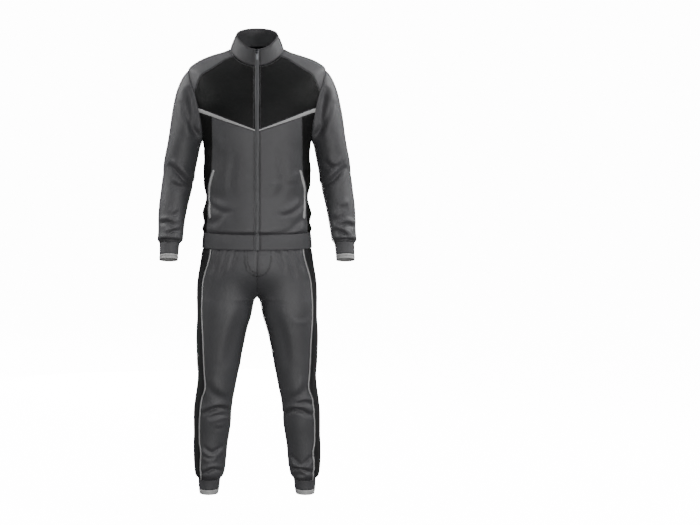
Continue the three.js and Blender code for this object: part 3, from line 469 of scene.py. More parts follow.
def leg(turn, drop):
    """Below the crotch a ring round one leg. Above it the ring opens into half of the hips, along the crotch
    curve at the centre seam and more gently towards the outer line."""
    turn, drop = np.broadcast_arrays(np.asarray(turn, float), np.asarray(drop, float))
    angle = np.radians(turn)
    above = drop < CROTCH
    outer = np.where(above, read(HIP, "half", drop), read(LEG, "x", drop) + read(LEG, "half", drop))
    half = np.where(above, outer / 2, read(LEG, "half", drop))
    depth = np.where(turn >= 0, read(LEG, "fore", drop), read(LEG, "aft", drop))
    x = outer - half + half * power(np.cos(angle), 2 / LEG_SQUARE)
    ring = xyz(x, read(LEG, "y", drop) - depth * power(np.sin(angle), 2 / LEG_SQUARE), -drop)
    height = np.where(turn >= 0, RISE_FRONT, RISE_BACK)
    rise = np.clip((CROTCH - drop) / height, 0, 1)
    curve = np.sqrt(1 - (1 - rise) ** 2)
    slow = soft((CROTCH + EARLY - drop) / (height + EARLY))
    share = mix(slow, curve, soft((np.abs(turn) - CROTCH_FROM) / CROTCH_OVER))[..., None]
    return ring + (hip(turn, drop) - ring) * share


STRIPE_FRONT = table("drop x", [
    (572, 148), (611, 150.5), (718, 175), (799, 178.5), (887, 175.8), (962, 173.5), (1050, 170),
    (1095, 181.5), (1124, 184.6), (1176, 188), (1232, 188.5), (1267, 184), (1313, 186.3), (1363, 184.6),
])
STRIPE_BACK = table("drop x", [
    (572, 145), (611, 148), (692, 169), (773, 174), (829, 175), (897, 170), (936, 170), (988, 178.5),
    (1043, 179.5), (1085, 181.5), (1124, 189.5), (1176, 192.5), (1232, 190), (1287, 186), (1363, 186),
])
PIPING_WIDE = 4.8


def stripe_turn(edge, drop, sign):
    x = read(edge, "x", drop)
    return sign * bisect(lambda turn: leg(turn * sign, drop)[..., 0] - x, drop * 0 + 4, drop * 0 + 120)


def turn_on(turn, drop, distance):
    """The turn that lies a few millimetres further round the leg."""
    return turn + distance / length_of(leg(turn + 1, drop) - leg(turn, drop))


# Creases that the photograph shows, in its pixels: those on one side, and those that both sides have, given
# at the viewer's left. Each is a trough's depth and width in millimetres, the height of the lip above it,
# or below it where the lip is negative, and its line.
CREASES = {
    ("leg", "front", "one"): [
        (9, 7, 4, [(202, 411), (208, 408), (213, 405.6), (218, 404.4), (224, 405), (230, 408.5)]),
        (5, 6, -3, [(208, 416), (213, 413.5), (218, 412), (224, 411.5), (232, 413)]),
        (3, 5, 2, [(214, 424.5), (219, 425), (226, 424)]),
        (6.5, 6, -4, [(203, 443.5), (208, 448), (212, 450.2), (217, 448), (224, 443)]),
        (4, 5, -3, [(202, 452.5), (207, 454.8), (211, 455.4), (217, 452.5)]),
        (7, 6, 4, [(200.5, 472), (206.5, 470), (212, 467.2), (218, 468), (223, 470.5)]),
        (9.5, 7, 4.5, [(281, 414), (286, 411.5), (290, 407.8), (295.7, 406.2),
                       (302.2, 407), (307, 409.9), (314, 412.6)]),
        (5, 6, 3, [(295, 401), (300, 399), (306, 398.4), (313, 401)]),
        (6.5, 6, -4, [(290, 453), (294, 457), (300.5, 462.5), (305, 461), (309, 457), (314, 453)]),
        (7.5, 6, 4, [(288, 470), (293, 467.4), (300.5, 466.6), (307, 468.9), (315, 471.2)]),
        (4, 7, -3, [(293, 474.5), (299, 472.4), (306, 474)]),
        (2, 6, -2, [(292, 303), (293.5, 310), (298, 313.5), (304, 313), (308, 308)]),
        (3.5, 12, 2.5, [(205, 376), (213, 388), (226, 396)]),
        (3.5, 12, 2.5, [(290, 396), (302, 388), (310, 376)]),
        (4, 15, 3, [(243, 304), (234, 332), (227, 362)]),
        (4, 15, 3, [(272, 304), (282, 332), (287, 362)]),
    ],
    ("leg", "back", "one"): [
        (7, 7, 4, [(418, 344), (424, 351), (431.5, 357.5), (439, 358.5), (447, 355)]),
        (8, 7, 4, [(416, 363), (426, 370), (436, 374), (446, 370), (457, 355)]),
        (5, 7, 3, [(426, 395), (434, 389), (443, 380), (452, 370)]),
        (7, 7, 4, [(487, 351), (493, 359), (500, 366), (509, 372.5), (518, 376), (527, 379.5)]),
        (5, 7, 3, [(492, 376), (500, 384), (510, 389), (521, 391)]),
        (6, 6, 4, [(414, 468), (421, 466.5), (429, 467), (437, 470)]),
        (6, 6, 4, [(507, 470), (515, 467), (523, 466.5), (531, 468.5)]),
        (5, 7, -3.5, [(418, 441), (426, 446), (436, 443)]),
        (5, 7, -3.5, [(508, 443), (518, 446.5), (528, 441)]),
    ],
    ("leg", "back", "both"): [
        (1.6, 16, 1.5, [(438, 299), (450, 304), (462, 303)]),
    ],
    ("sleeve", "front", "one"): [
        (11.7, 9.2, 6.5, [(319, 186), (325, 182), (331, 178), (338, 171), (345, 164)]),
        (6.5, 8.05, 3.9, [(322, 158), (328, 164), (335, 165), (343, 160)]),
        (6.5, 8.05, 3.9, [(331, 216.5), (336.5, 216), (342, 211)]),
        (5.2, 8.05, 3.9, [(336, 205.5), (341, 204.5), (347, 205)]),
        (8.45, 5.5, 5.2, [(336.5, 223.5), (340.5, 221.4), (345, 220.3), (349, 221.7), (353.5, 224)]),
        (8.45, 5.5, 5.2, [(330.5, 228.2), (334.5, 227.2), (338.5, 227.6), (342.5, 229.9), (348, 234)]),
        (5.85, 5, 3.9, [(331, 237.5), (338, 236.5), (346, 236), (354, 237.5)]),
        (11.7, 9.2, 6.5, [(170, 162), (176, 168), (182, 174), (188, 180), (196, 183)]),
        (6.5, 8.05, 3.9, [(172, 181), (179, 184), (187, 186)]),
        (5.2, 8.05, 3.9, [(171, 213.5), (176, 212), (181, 208.5)]),
        (8.45, 5.5, 5.2, [(161, 220.2), (166, 219), (170.5, 218.7), (174.5, 220), (178.5, 222.5)]),
        (7.8, 5.5, 4.55, [(169.5, 231), (173, 228.6), (176.5, 227.4), (182, 227)]),
        (5.85, 5, 3.9, [(161, 237), (168, 236), (175, 236.4), (182, 238)]),
    ],
    ("sleeve", "front", "both"): [
        (17, 13, -6, [(190, 86), (191.5, 103), (194.5, 119), (199, 136)]),
        (7.8, 9.2, 5.2, [(183, 100), (187, 114), (193, 127), (201, 137)]),
    ],
    ("sleeve", "back", "both"): [
        (7.8, 10.3, 6.5, [(377, 170), (384, 176), (392, 179), (401, 178)]),
        (6.5, 8.05, 5.2, [(375, 203), (382, 208), (391, 209)]),
        (6.5, 6, 5.2, [(376, 226), (383, 228.5), (392, 227)]),
        (9.1, 9.2, 6.5, [(402, 100), (407, 112), (413, 123), (419, 134)]),
        (7.8, 9.2, 5.2, [(391, 118), (401, 126), (410, 132), (418, 136)]),
    ],
    ("body", "front", "one"): [
        (4, 9, 3.5, [(207, 198), (213, 203.5), (223, 208.5), (236, 208)]),
        (3, 9, -3, [(210, 222), (218, 217), (226, 210)]),
        (5, 8, 4.5, [(275.6, 209), (282, 211.5), (289, 210.4), (296, 207), (303, 200)]),
        (4, 9, -4, [(271, 228), (281, 229.5), (291, 226), (299, 218), (304, 208)]),
        (4, 10, 3, [(298, 140), (300, 156), (301, 172), (298, 190)]),
        (3, 13, 3, [(278, 146), (281, 166), (282, 184), (274, 198)]),
        (3, 13, 2.5, [(216, 138), (216, 156), (213, 176)]),
        (2.5, 14, 2, [(236, 150), (232, 172), (231, 194)]),
    ],
    ("body", "back", "one"): [
        (11, 8, -3, [(431, 199), (444, 203), (455, 206), (463, 211.2), (469, 216.5), (473.6, 220.2)]),
        (11, 8, -3, [(472.4, 220.2), (477, 216), (483, 211.4), (492, 206), (501, 202.4), (513, 198)]),
        (5.5, 8, -7, [(419, 202), (424, 209.5), (431, 215), (447, 220.8), (473, 223.4),
                      (497, 220.6), (511, 214.5), (519, 208), (524, 200)]),
        (3.5, 5, 2.5, [(450, 221), (457, 226), (466, 229)]),
        (3.5, 5, 2.5, [(484, 229), (490, 226), (496, 222)]),
        (4.5, 7, 3.5, [(424, 212), (429, 219), (436, 224)]),
        (4.5, 7, 3.5, [(507, 223), (513, 217), (518, 208)]),
        (6, 11, 5, [(418, 148), (424, 161), (430.5, 175), (437, 187), (443, 197)]),
        (5, 11, 4, [(501, 197), (508, 187), (515, 172), (523, 152)]),
        (2.5, 16, 2, [(440, 96), (436, 116), (431, 136)]),
        (2.5, 16, 2, [(507, 96), (511, 116), (516, 136)]),
    ],
}
LIP_PLACE = 1.9
LIP_WIDE = 1.35
CREASE_REACH = 4
TAPER_POWER = 0.6
# Short gathers under the jacket's hem, at these pixels across and down to this one
GATHERS = [(219, 270), (228, 276), (236, 268), (277, 270), (287, 277), (296, 268)]
GATHER_DEPTH = 4.8
GATHER_WIDE = 7.0
GATHER_FADE = 30.0
GATHER_LEAN = 0.3
GATHER_BEHIND = 0.6
# How much each part drifts out of its plain cut
DRIFT = {"body": 0.9, "leg": 0.9, "sleeve": 0.9, "collar": 0.25, "hem": 0.3, "waist": 0.3, "cuff": 0.3}


def smooth_line(points, count=22):
    """Points along a Catmull-Rom curve through the given ones."""
    p = np.array(points, dtype=float)
    p = np.vstack([2 * p[0] - p[1], p, 2 * p[-1] - p[-2]])
    places = np.linspace(0, len(points) - 1 - 1e-9, count)
    k = places.astype(int)
    t = (places - k)[:, None]
    a, b, c, d = p[k], p[k + 1], p[k + 2], p[k + 3]
    return 0.5 * (2 * b + (c - a) * t + (2 * a - 5 * b + 4 * c - d) * t**2 + (3 * b - a - 3 * c + d) * t**3)


def photo_line(view, points):
    """A line of the photograph as places across and up the garment, always from -X to +X."""
    p = np.array(points, dtype=float)
    x = (p[:, 0] - FRONT_CENTRE) * PIXEL if view == "front" else (BACK_CENTRE - p[:, 0]) * PIXEL
    return smooth_line(np.stack([x, (PHOTO_TOP - p[:, 1]) * PIXEL], axis=-1))


def creases_on(part):
    for (where, view, sides), creases in CREASES.items():
        if where != part:
            continue
        for depth, width, lip, pixels in creases:
            line = photo_line(view, pixels)
            yield view, depth, width, lip, line
            if sides == "both":
                yield view, depth, width, lip, line[::-1] * (-1, 1)


def distance_to(line, x, z):
    """Distance from a line, positive above it, and the share of the line's length at the nearest point."""
    a, b = line[:-1], line[1:]
    way = b - a
    length = np.maximum(length_of(way), 1e-6)
    relative = np.stack([x, z], axis=-1)[:, None, :] - a[None]
    t = np.clip((relative * way).sum(-1) / length**2, 0, 1)
    offset = relative - t[..., None] * way
    square = (offset**2).sum(-1)
    best = square.argmin(axis=1)
    rows = np.arange(len(x))
    away = offset[rows, best]
    up = np.where(way[best, 0] >= 0, 1, -1) * (way[best, 0] * away[:, 1] - way[best, 1] * away[:, 0])
    run = np.concatenate([[0], np.cumsum(length)])
    share = (run[best] + t[rows, best] * length[best]) / run[-1]
    return np.sqrt(square[rows, best]) * np.where(up >= 0, 1, -1), share


def bell(value):
    return np.exp(-value * value)


def relief(points, normals, part):
    """How far each point stands out of the plain cut: creases, gathers and a slow drift of the cloth."""
    flat, way = points.reshape(-1, 3), normals.reshape(-1, 3)
    out = np.zeros(len(flat))
    for view, depth, width, lip, curve in creases_on(part):
        facing = way[:, 1] if view == "back" else -way[:, 1]
        weight = np.clip(2 * facing + 0.5, 0, 1)
        reach = CREASE_REACH * width
        low, high = curve.min(axis=0) - reach, curve.max(axis=0) + reach
        near = (weight > 0) & (flat[:, 0] > low[0]) & (flat[:, 0] < high[0])
        near &= (flat[:, 2] > low[1]) & (flat[:, 2] < high[1])
        if not near.any():
            continue
        gap, share = distance_to(curve, flat[near, 0], flat[near, 2])
        taper = np.sin(np.pi * np.clip(share, 0.0, 1.0)) ** TAPER_POWER
        lip_gap = gap - np.sign(lip) * LIP_PLACE * width
        shape = abs(lip) * bell(lip_gap / (LIP_WIDE * width)) - depth * bell(gap / width)
        out[near] += shape * taper * weight[near]
    out += drift(flat) * DRIFT[part]
    if part == "leg":
        out += gathers(flat, way)
    return out.reshape(points.shape[:-1])


def gathers(flat, way):
    out = np.zeros(len(flat))
    ahead = np.clip(-way[:, 1] * 2, 0, 1)
    behind = np.clip(way[:, 1] * 2, 0, 1)
    for column, bottom in GATHERS:
        x = (column - FRONT_CENTRE) * PIXEL
        low = (PHOTO_TOP - bottom) * PIXEL
        fade = np.clip((flat[:, 2] - low) / GATHER_FADE, 0, 1)
        below_band = flat[:, 2] < HEM_BOTTOM + GATHER_FADE
        lean = x - (flat[:, 2] - HEM_BOTTOM) * GATHER_LEAN * np.sign(x)
        trough = GATHER_DEPTH * bell((flat[:, 0] - lean) / GATHER_WIDE)
        out -= trough * fade * below_band * (ahead + GATHER_BEHIND * behind)
    return out


def drift(flat):
    """A slow wander of the cloth, from waves a few centimetres long that never repeat together."""
    x, y, z = flat.T
    slow = np.sin(x / 31 + 1.3 * np.sin(z / 57)) * np.sin(z / 43 + y / 37 + 0.8)
    slower = np.sin(z / 71 + x / 53) * np.sin(y / 49 - x / 61 + 2.1)
    return 0.8 * slow + 1.1 * slower


# Grids of places on a surface and the walls made from them
def grid_between(bottom, top, left, right):
    s = np.linspace(0, 1, len(bottom))[None, :, None]
    t = np.linspace(0, 1, len(left))[:, None, None]
    corners = mix(mix(bottom[0], bottom[-1], s), mix(top[0], top[-1], s), t)
    return mix(bottom[None], top[None], t) + mix(left[:, None], right[:, None], s) - corners


EDGE_PLACES = (0.22, 0.5)


def with_edges(grid):
    """The grid with close rows and columns beside its edges, where the seams turn in."""
    for axis in (0, 1):
        count = grid.shape[axis]
        if count < 3:
            continue
        places = {*range(count), *EDGE_PLACES, *(count - 1 - place for place in EDGE_PLACES)}
        places = np.array(sorted(places), dtype=float)
        k = np.minimum(places.astype(int), count - 2)
        t = (places - k).reshape((-1, 1, 1) if axis == 0 else (1, -1, 1))
        grid = np.take(grid, k, axis) * (1 - t) + np.take(grid, k + 1, axis) * t
    return grid


# How far to each side of a place its slope is taken: in degrees, and in millimetres or shares of a length
SLOPE_TURN = 0.6
SLOPE_MM = 1.0
SLOPE_SHARE = 0.01


def normals_of(surface, grid):
    a, b = grid[..., 0], grid[..., 1]
    step = SLOPE_SHARE if surface in (sleeve, collar) else SLOPE_MM
    across = surface(a + SLOPE_TURN, b) - surface(a - SLOPE_TURN, b)
    along = surface(a, b + step) - surface(a, b - step)
    return unit(np.cross(across, along))


# How far from a seam its shared normal reaches, and how far the cloth lies still beside it
SEAM_REACH = 9.0
SEAM_STILL = 6.0


def seam_samples():
    """Places on the seams between differently shaped parts, with the normal that both sides take there."""
    fine, at = np.linspace(0, len(ARM_LOOP) - 1, 4 * len(ARM_LOOP)), np.arange(len(ARM_LOOP))
    hole = placed(np.interp(fine, at, ARM_LOOP[:, 0]), np.interp(fine, at, ARM_LOOP[:, 1]))
    ring, half_ring = steps(0, 360, 240)[:-1], steps(-180, 180, 160)
    neck, waist_line = placed(ring, NECK), placed(ring, HEM_TOP)
    pairs = [
        (body, hole, normals_of(sleeve, placed(np.interp(fine, at, ARM_TURNS), 0))),
        (body, neck, normals_of(collar, placed(ring, 0))),
        (body, waist_line, normals_of(hem, waist_line)),
        (sleeve, placed(half_ring, sleeve_station(SLEEVE_END)), 0),
        (leg, placed(half_ring, ANKLE_SEAM), 0),
        (leg, placed(half_ring, WAIST_SEAM), 0),
    ]
    rise = CROTCH - (CROTCH - WAIST_SEAM) * steps(1, 0, 60) ** 2
    centre = np.concatenate([leg(180, rise), leg(-180, rise[::-1][1:])])
    down = np.gradient(centre, axis=0)
    middle = unit(np.stack([down[:, 0] * 0, down[:, 2], -down[:, 1]], axis=-1))
    points = np.concatenate([*(surface(grid[:, 0], grid[:, 1]) for surface, grid, _ in pairs), centre])
    shared = [unit(normals_of(surface, grid) + other) for surface, grid, other in pairs]
    normals = np.concatenate([*shared, middle])
    turned = np.array([-1, 1, 1])
    return np.concatenate([points, points * turned]), np.concatenate([normals, normals * turned])


def tree_of(points):
    tree = kdtree.KDTree(len(points))
    for place, point in enumerate(points):
        tree.insert(point, place)
    tree.balance()
    return tree


SEAM_POINTS, SEAM_NORMALS = seam_samples()
SEAM_TREE = tree_of(SEAM_POINTS)


def near_seam(points):
    """Distance of each point from the nearest such seam, and the seam's normal there."""
    found = [SEAM_TREE.find(point)[1:] for point in points.reshape(-1, 3)]
    places, gaps = zip(*found)
    return np.array(gaps).reshape(points.shape[:-1]), SEAM_NORMALS[list(places)].reshape(points.shape)


def boundary(quads):
    """Directed edges that only one quad has."""
    edges = np.concatenate([quads[:, [k, (k + 1) % 4]] for k in range(4)])
    size = int(edges.max()) + 1
    keys, back = edges[:, 0] * size + edges[:, 1], edges[:, 1] * size + edges[:, 0]
    return edges[~np.isin(keys, back)]


def grid_quads(ids):
    return np.stack([ids[:-1, :-1], ids[:-1, 1:], ids[1:, 1:], ids[1:, :-1]], axis=-1).reshape(-1, 4)


def wall_faces(quads, count):
    """The outer face, the inner face with points numbered from count on, and strips that join their rims."""
    rim = boundary(quads)
    sides = np.concatenate([rim[:, ::-1], rim + count], axis=1)
    return np.concatenate([quads, quads[:, ::-1] + count, sides])


def put(name, data):
    thing = bpy.data.objects.new(name, data)
    bpy.context.scene.collection.objects.link(thing)
    return thing


def suit_piece(name, points, faces, material, uv=None, smooth=True):
    """A piece that rides on the suit, from points in millimetres."""
    mesh = bpy.data.meshes.new(name)
    mesh.from_pydata((np.asarray(points) * MM).tolist(), [], [tuple(map(int, face)) for face in faces])
    mesh.validate()
    if smooth:
        mesh.polygons.foreach_set("use_smooth", [True] * len(mesh.polygons))
    if uv is not None:
        layer = mesh.uv_layers.new(name="cloth")
        loops = np.empty(len(mesh.loops), dtype=np.int32)
        mesh.loops.foreach_get("vertex_index", loops)
        layer.data.foreach_set("uv", (uv[loops] * MM).ravel())
    mesh.update()
    mesh.materials.append(material)
    piece = put(name, mesh)
    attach(piece, "suit")
    return piece


ROLL_DEPTH = 0.95
ROLL_WIDE = 1.9


def cloth_arrays(surface, grid, part, flip, lift=0.0, crown=0.0):
    points, normals = surface(grid[..., 0], grid[..., 1]), normals_of(surface, grid)
    if flip:
        points, normals = points * (-1, 1, 1), normals * (-1, 1, 1)
    gap, shared = near_seam(points)
    normals = unit(mix(normals, shared, bell(gap / SEAM_REACH)[..., None]))
    raised = relief(points, normals, part) * (1 - bell(gap / SEAM_STILL)) + lift
    if crown:
        s = np.linspace(-1, 1, grid.shape[1])
        raised = raised + crown * np.sqrt(np.clip(1 - s**2, 0, 1))
    return points + normals * raised[..., None], normals


def cloth(node, surface, grid, material, part="body", flip=False, thick=CLOTH, free=(), closed=False,
          present=None, lift=0.0, crown=0.0, roll=ROLL_DEPTH, sewn=()):
    """A cloth wall over a grid of places. Its seam edges turn in, the free ones stay flat. Each entry of sewn
    is a row of stitches: the edge that it follows, its distance from that edge and its thread."""
    grid = np.asarray(grid, dtype=float)
    points, normals = cloth_arrays(surface, grid, part, flip, lift, crown)
    rows, columns = points.shape[:2]
    ids = np.arange(rows * columns).reshape(rows, columns)
    if closed:
        ids = np.concatenate([ids, ids[:, :1]], axis=1)
    quads = grid_quads(ids)
    if present is not None:
        keep = present.ravel()
        quads = quads[keep[quads].all(axis=1)]
    if flip:
        quads = quads[:, ::-1]
    flat, way = points.reshape(-1, 3), normals.reshape(-1, 3)
    rim = boundary(quads)
    inward = np.zeros_like(flat)
    direction = flat[rim[:, 1]] - flat[rim[:, 0]]
    for end in (0, 1):
        np.add.at(inward, rim[:, end], unit(np.cross(way[rim[:, end]], direction)))
    loose = np.zeros(len(flat), dtype=bool)
    for row in free:
        loose[ids[row]] = True
    seams = [k for k in np.unique(rim) if not loose[k]]
    if roll and seams:
        tree = tree_of(flat[seams])
        away = np.array([tree.find(point)[2] for point in flat])
        flat = flat - way * (roll * bell(away / ROLL_WIDE))[:, None]
    for edge, inset, thread in sewn:
        sew_row(flat.reshape(points.shape), normals, edge, inset, thread)
    flat = flat - unit(inward) * SEAM_LAP
    inner = flat - way * thick
    faces = wall_faces(quads, len(flat))
    used = np.unique(faces)
    remap = np.full(2 * len(flat), -1)
    remap[used] = np.arange(len(used))
    across, up = runs_of(points)
    uv = np.stack([across - across[:, [columns // 2]], up], axis=-1).reshape(-1, 2)
    uv = np.concatenate([uv, uv])[used]
    piece = suit_piece(f"sewn_{node}", np.concatenate([flat, inner])[used], remap[faces], material, uv)
    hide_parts(node)
    declare_cut(points, closed, present)


NARROWEST_CUT = 10.5


def declare_cut(points, closed=False, present=None):
    """The cloth's flat cut: its widest and longest runs and its area. A ring's width is all the way round."""
    across, up = runs_of(points)
    round_back = length_of(points[:, -1] - points[:, 0]) if closed else 0
    width, length = (across[:, -1] + round_back).max(), up[-1].max()
    a, b, c = points[:-1, :-1], points[:-1, 1:], points[1:, :-1]
    patches = length_of(np.cross(b - a, c - a))
    if present is not None:
        patches = patches[present[:-1, :-1]]
    area = patches.sum() + (round_back.mean() * length if closed else 0)
    short, long = sorted((width, length))
    short = max(short, NARROWEST_CUT)
    area = min(area, short * long) * MM**2


STITCH_LONG = 2.8
STITCH_PITCH = 3.3
THREAD_THICK = 0.55
TWIN_NEEDLE = 2.0
ROWS_SEWN = {}


def sew_row(points, normals, edge, inset, thread):
    """A row of stitches on a wall, a few millimetres inside one edge of its grid."""
    turn = {"start": 0, "end": 0, "left": 1, "right": 1}[edge]
    p, n = (np.moveaxis(array, turn, 0) for array in (points, normals))
    if edge in ("end", "right"):
        p, n = p[::-1], n[::-1]
    run = runs_of(p)[1]
    k = np.clip((run < inset).sum(axis=0) - 1, 0, len(p) - 2)
    column = np.arange(p.shape[1])
    t = ((inset - run[k, column]) / np.maximum(run[k + 1, column] - run[k, column], 1e-6))[:, None]
    line, way = (mix(array[k, column], array[k + 1, column], t) for array in (p, n))
    sew_line(line, way, thread)


def sew_line(line, way, thread):
    """Two rows side by side, as a twin needle sews them."""
    across = unit(np.cross(way, np.gradient(line, axis=0))) * TWIN_NEEDLE
    for side in (-0.5, 0.5):
        ROWS_SEWN.setdefault(thread, []).append((line + side * across, way))


# One stitch, as the share of its length, the width and the height of its two ends and its middle
STITCH_SHAPE = [(0.0, 0.45, -0.3), (0.5, 1.0, 0.2), (1.0, 0.45, -0.3)]
STITCH_RING = [(1, 0), (0, 1), (-1, 0), (0, -1)]


def stitch_faces():
    sides = [(k + j, k + (j + 1) % 4, k + 4 + (j + 1) % 4, k + 4 + j) for k in (0, 4) for j in range(4)]
    return np.array([*sides, (3, 2, 1, 0), (8, 9, 10, 11)])


def stitches_along(line, way):
    """The points of every stitch along one row, twelve for each."""
    run = run_along(line)
    starts = np.arange(STITCH_PITCH / 2, run[-1] - STITCH_LONG, STITCH_PITCH)
    rings = []
    for share, wide, high in STITCH_SHAPE:
        at = starts + share * STITCH_LONG
        up = unit(at_runs(way, run, at))
        ahead = unit(at_runs(line, run, at + 1) - at_runs(line, run, at - 1))
        across = np.cross(up, ahead)
        middle = at_runs(line, run, at) + up * high
        rings += [middle + (a * across + b * up) * THREAD_THICK * wide for a, b in STITCH_RING]
    return np.stack(rings, axis=1).reshape(-1, 3)


def make_stitches():
    """Every row of stitches as short raised threads, one mesh for each thread."""
    for (name, slot, material), rows in ROWS_SEWN.items():
        points = np.concatenate([stitches_along(line, way) for line, way in rows])
        faces = np.arange(0, len(points), 12)[:, None, None] + stitch_faces()[None]
        piece = suit_piece(name, points, faces.reshape(-1, 4), material)


# Colours and materials
def linear(colour):
    """An sRGB hex colour as linear red, green, blue and alpha."""
    channels = [int(colour[k:k + 2], 16) / 255 for k in (1, 3, 5)]
    return [c / 12.92 if c <= 0.04045 else ((c + 0.055) / 1.055) ** 2.4 for c in channels] + [1.0]


def add_node(tree, kind, settings=None, **inputs):
    """A node with its settings. Inputs are given by name, or as n and a number, as values or sockets."""
    node = tree.nodes.new(kind)
    for key, value in (settings or {}).items():
        setattr(node, key, value)
    for key, value in inputs.items():
        name = key.replace("_", " ")
        socket = node.inputs[int(name[1:])] if name[:1] == "n" and name[1:].isdigit() else node.inputs[name]
        if isinstance(value, bpy.types.NodeSocket):
            tree.links.new(value, socket)
        else:
            socket.default_value = value
    return node


def new_material(name):
    material = bpy.data.materials.new(name)
    material.use_nodes = True
    material.node_tree.nodes.clear()
    return material, material.node_tree


def finish_material(tree, shader):
    add_node(tree, "ShaderNodeOutputMaterial", Surface=shader.outputs[0])


SINE = {"operation": "SINE"}
MULTIPLY = {"operation": "MULTIPLY"}
ADD = {"operation": "ADD"}
MULTIPLY_ADD = {"operation": "MULTIPLY_ADD"}

# Sizes in the cloth: wales and courses of the knit, the rib, fuzz, lighter flecks and clouds in the dye
WALE = 1.6
COURSE = 1.3
RIB_PITCH = 2.4
FIBRE = 0.5
FLECK = 2.2
CLOUD = 55.0
FUZZ_SHARE = 1.2
FLECK_SHARE = 0.55
CLOUD_SHARE = 0.45
BUMP_DEEP = 0.25


def knit(name, base, light, roughness, sheen, rib=0.0, gloss=0.35):
    """Polyester interlock knit: fine upright wales, drawn coarser than the real 0.8 mm so that they can show.
    It is smooth and nearly matt with a soft sheen where it turns away."""
    material, tree = new_material(name)
    uv = add_node(tree, "ShaderNodeUVMap", {"uv_map": "cloth"}).outputs[0]
    split = add_node(tree, "ShaderNodeSeparateXYZ", Vector=uv)
    waves = []
    for place, pitch in zip(split.outputs, (rib or WALE, COURSE)):
        turns = add_node(tree, "ShaderNodeMath", MULTIPLY, n0=place, n1=2 * math.pi / (pitch * MM))
        waves.append(add_node(tree, "ShaderNodeMath", SINE, n0=turns.outputs[0]).outputs[0])
    courses = add_node(tree, "ShaderNodeMath", MULTIPLY, n0=waves[1], n1=0.25 if rib else 0.6)
    height = add_node(tree, "ShaderNodeMath", ADD, n0=waves[0], n1=courses.outputs[0])
    place = add_node(tree, "ShaderNodeTexCoord").outputs["Object"]
    fibre, fleck, cloud = [
        add_node(
            tree, "ShaderNodeTexNoise", Vector=place, Scale=1 / (size * MM), Detail=detail, Roughness=rough,
        ).outputs[0]
        for size, detail, rough in ((FIBRE, 2.0, 0.6), (FLECK, 2.0, 0.7), (CLOUD, 3.0, 0.55))
    ]
    height = add_node(tree, "ShaderNodeMath", MULTIPLY_ADD, n0=fibre, n1=FUZZ_SHARE, n2=height.outputs[0])
    bump = add_node(
        tree, "ShaderNodeBump", Strength=0.35 if rib else 0.22, Distance=BUMP_DEEP * MM,
        Height=height.outputs[0],
    )
    blend = add_node(tree, "ShaderNodeMath", MULTIPLY, n0=fleck, n1=FLECK_SHARE)
    blend = add_node(tree, "ShaderNodeMath", MULTIPLY_ADD, n0=cloud, n1=CLOUD_SHARE, n2=blend.outputs[0])
    colour = add_node(
        tree, "ShaderNodeMix", {"data_type": "RGBA"}, n0=blend.outputs[0], n6=linear(base), n7=linear(light),
    )
    shader = add_node(
        tree, "ShaderNodeBsdfPrincipled", Base_Color=colour.outputs[2], Normal=bump.outputs[0],
        Roughness=roughness, Sheen_Weight=sheen, Sheen_Roughness=0.45, Sheen_Tint=linear("#d8dadd"),
        Specular_IOR_Level=gloss,
    )
    finish_material(tree, shader)
    return material


def plain_plastic(name, base, roughness):
    """Spun or moulded polymer, as thread and zip teeth are: smooth, with a faint grain."""
    material, tree = new_material(name)
    place = add_node(tree, "ShaderNodeTexCoord").outputs["Object"]
    grain = add_node(tree, "ShaderNodeTexNoise", Vector=place, Scale=1 / (0.8 * MM), Detail=2.0)
    bump = add_node(tree, "ShaderNodeBump", Strength=0.1, Distance=0.1 * MM, Height=grain.outputs[0])
    shader = add_node(
        tree, "ShaderNodeBsdfPrincipled", Base_Color=linear(base), Roughness=roughness, IOR=1.48,
        Normal=bump.outputs[0],
    )
    finish_material(tree, shader)
    return material


def plated_zinc(name, base, roughness):
    """Die-cast zinc with a nickel plate: a satin metal with faint tumbling scratches."""
    material, tree = new_material(name)
    place = add_node(tree, "ShaderNodeTexCoord").outputs["Object"]
    scratch = add_node(tree, "ShaderNodeTexNoise", Vector=place, Scale=1 / (1.1 * MM), Detail=4.0)
    spread = add_node(
        tree, "ShaderNodeMapRange", Value=scratch.outputs[0],
        To_Min=roughness - 0.06, To_Max=roughness + 0.08,
    )
    bump = add_node(tree, "ShaderNodeBump", Strength=0.08, Distance=0.05 * MM, Height=scratch.outputs[0])
    shader = add_node(
        tree, "ShaderNodeBsdfPrincipled", Base_Color=linear(base), Metallic=1.0, Roughness=spread.outputs[0],
        Normal=bump.outputs[0],
    )
    finish_material(tree, shader)
    return material


GREY_KNIT = knit("grey_interlock_knit", "#3a3a3c", "#424244", 0.5, 0.1)
BLACK_KNIT = knit("black_interlock_knit", "#0a0a0a", "#101010", 0.5, 0.0, gloss=0.14)
# The trousers' side stripe is the jacket's black knit with its colour painted lighter: painted light for the
# light that falls on the stripe. It also has a little more gloss and sheen.
BLACK_KNIT_WITH_PAINTED_LIGHT = knit("black_knit_with_painted_light", "#19191a", "#202021", 0.45, 0.07, gloss=0.2)
# The collar is the grey knit with its colour painted darker all over: painted shade for the shade that lies
# on the collar's front.
GREY_KNIT_WITH_PAINTED_SHADE = knit("grey_knit_with_painted_shade", "#2c2c2e", "#333335", 0.55, 0.08)
GREY_RIB = knit("grey_rib_knit", "#3a3a3c", "#424244", 0.6, 0.1, rib=RIB_PITCH)
LIGHT_TRIM = knit("light_grey_satin_knit", "#8e8e8e", "#9a9a9a", 0.42, 0.1)
TAPE = knit("grey_woven_zip_tape", "#414244", "#4a4b4d", 0.55, 0.1)
TEETH = plain_plastic("grey_acetal_zip_teeth", "#3a3b3d", 0.45)
DARK_METAL = plated_zinc("dark_nickel_plated_zinc", "#2a2b2d", 0.38)
SATIN_METAL = plated_zinc("satin_nickel_plated_zinc", "#66686b", 0.42)


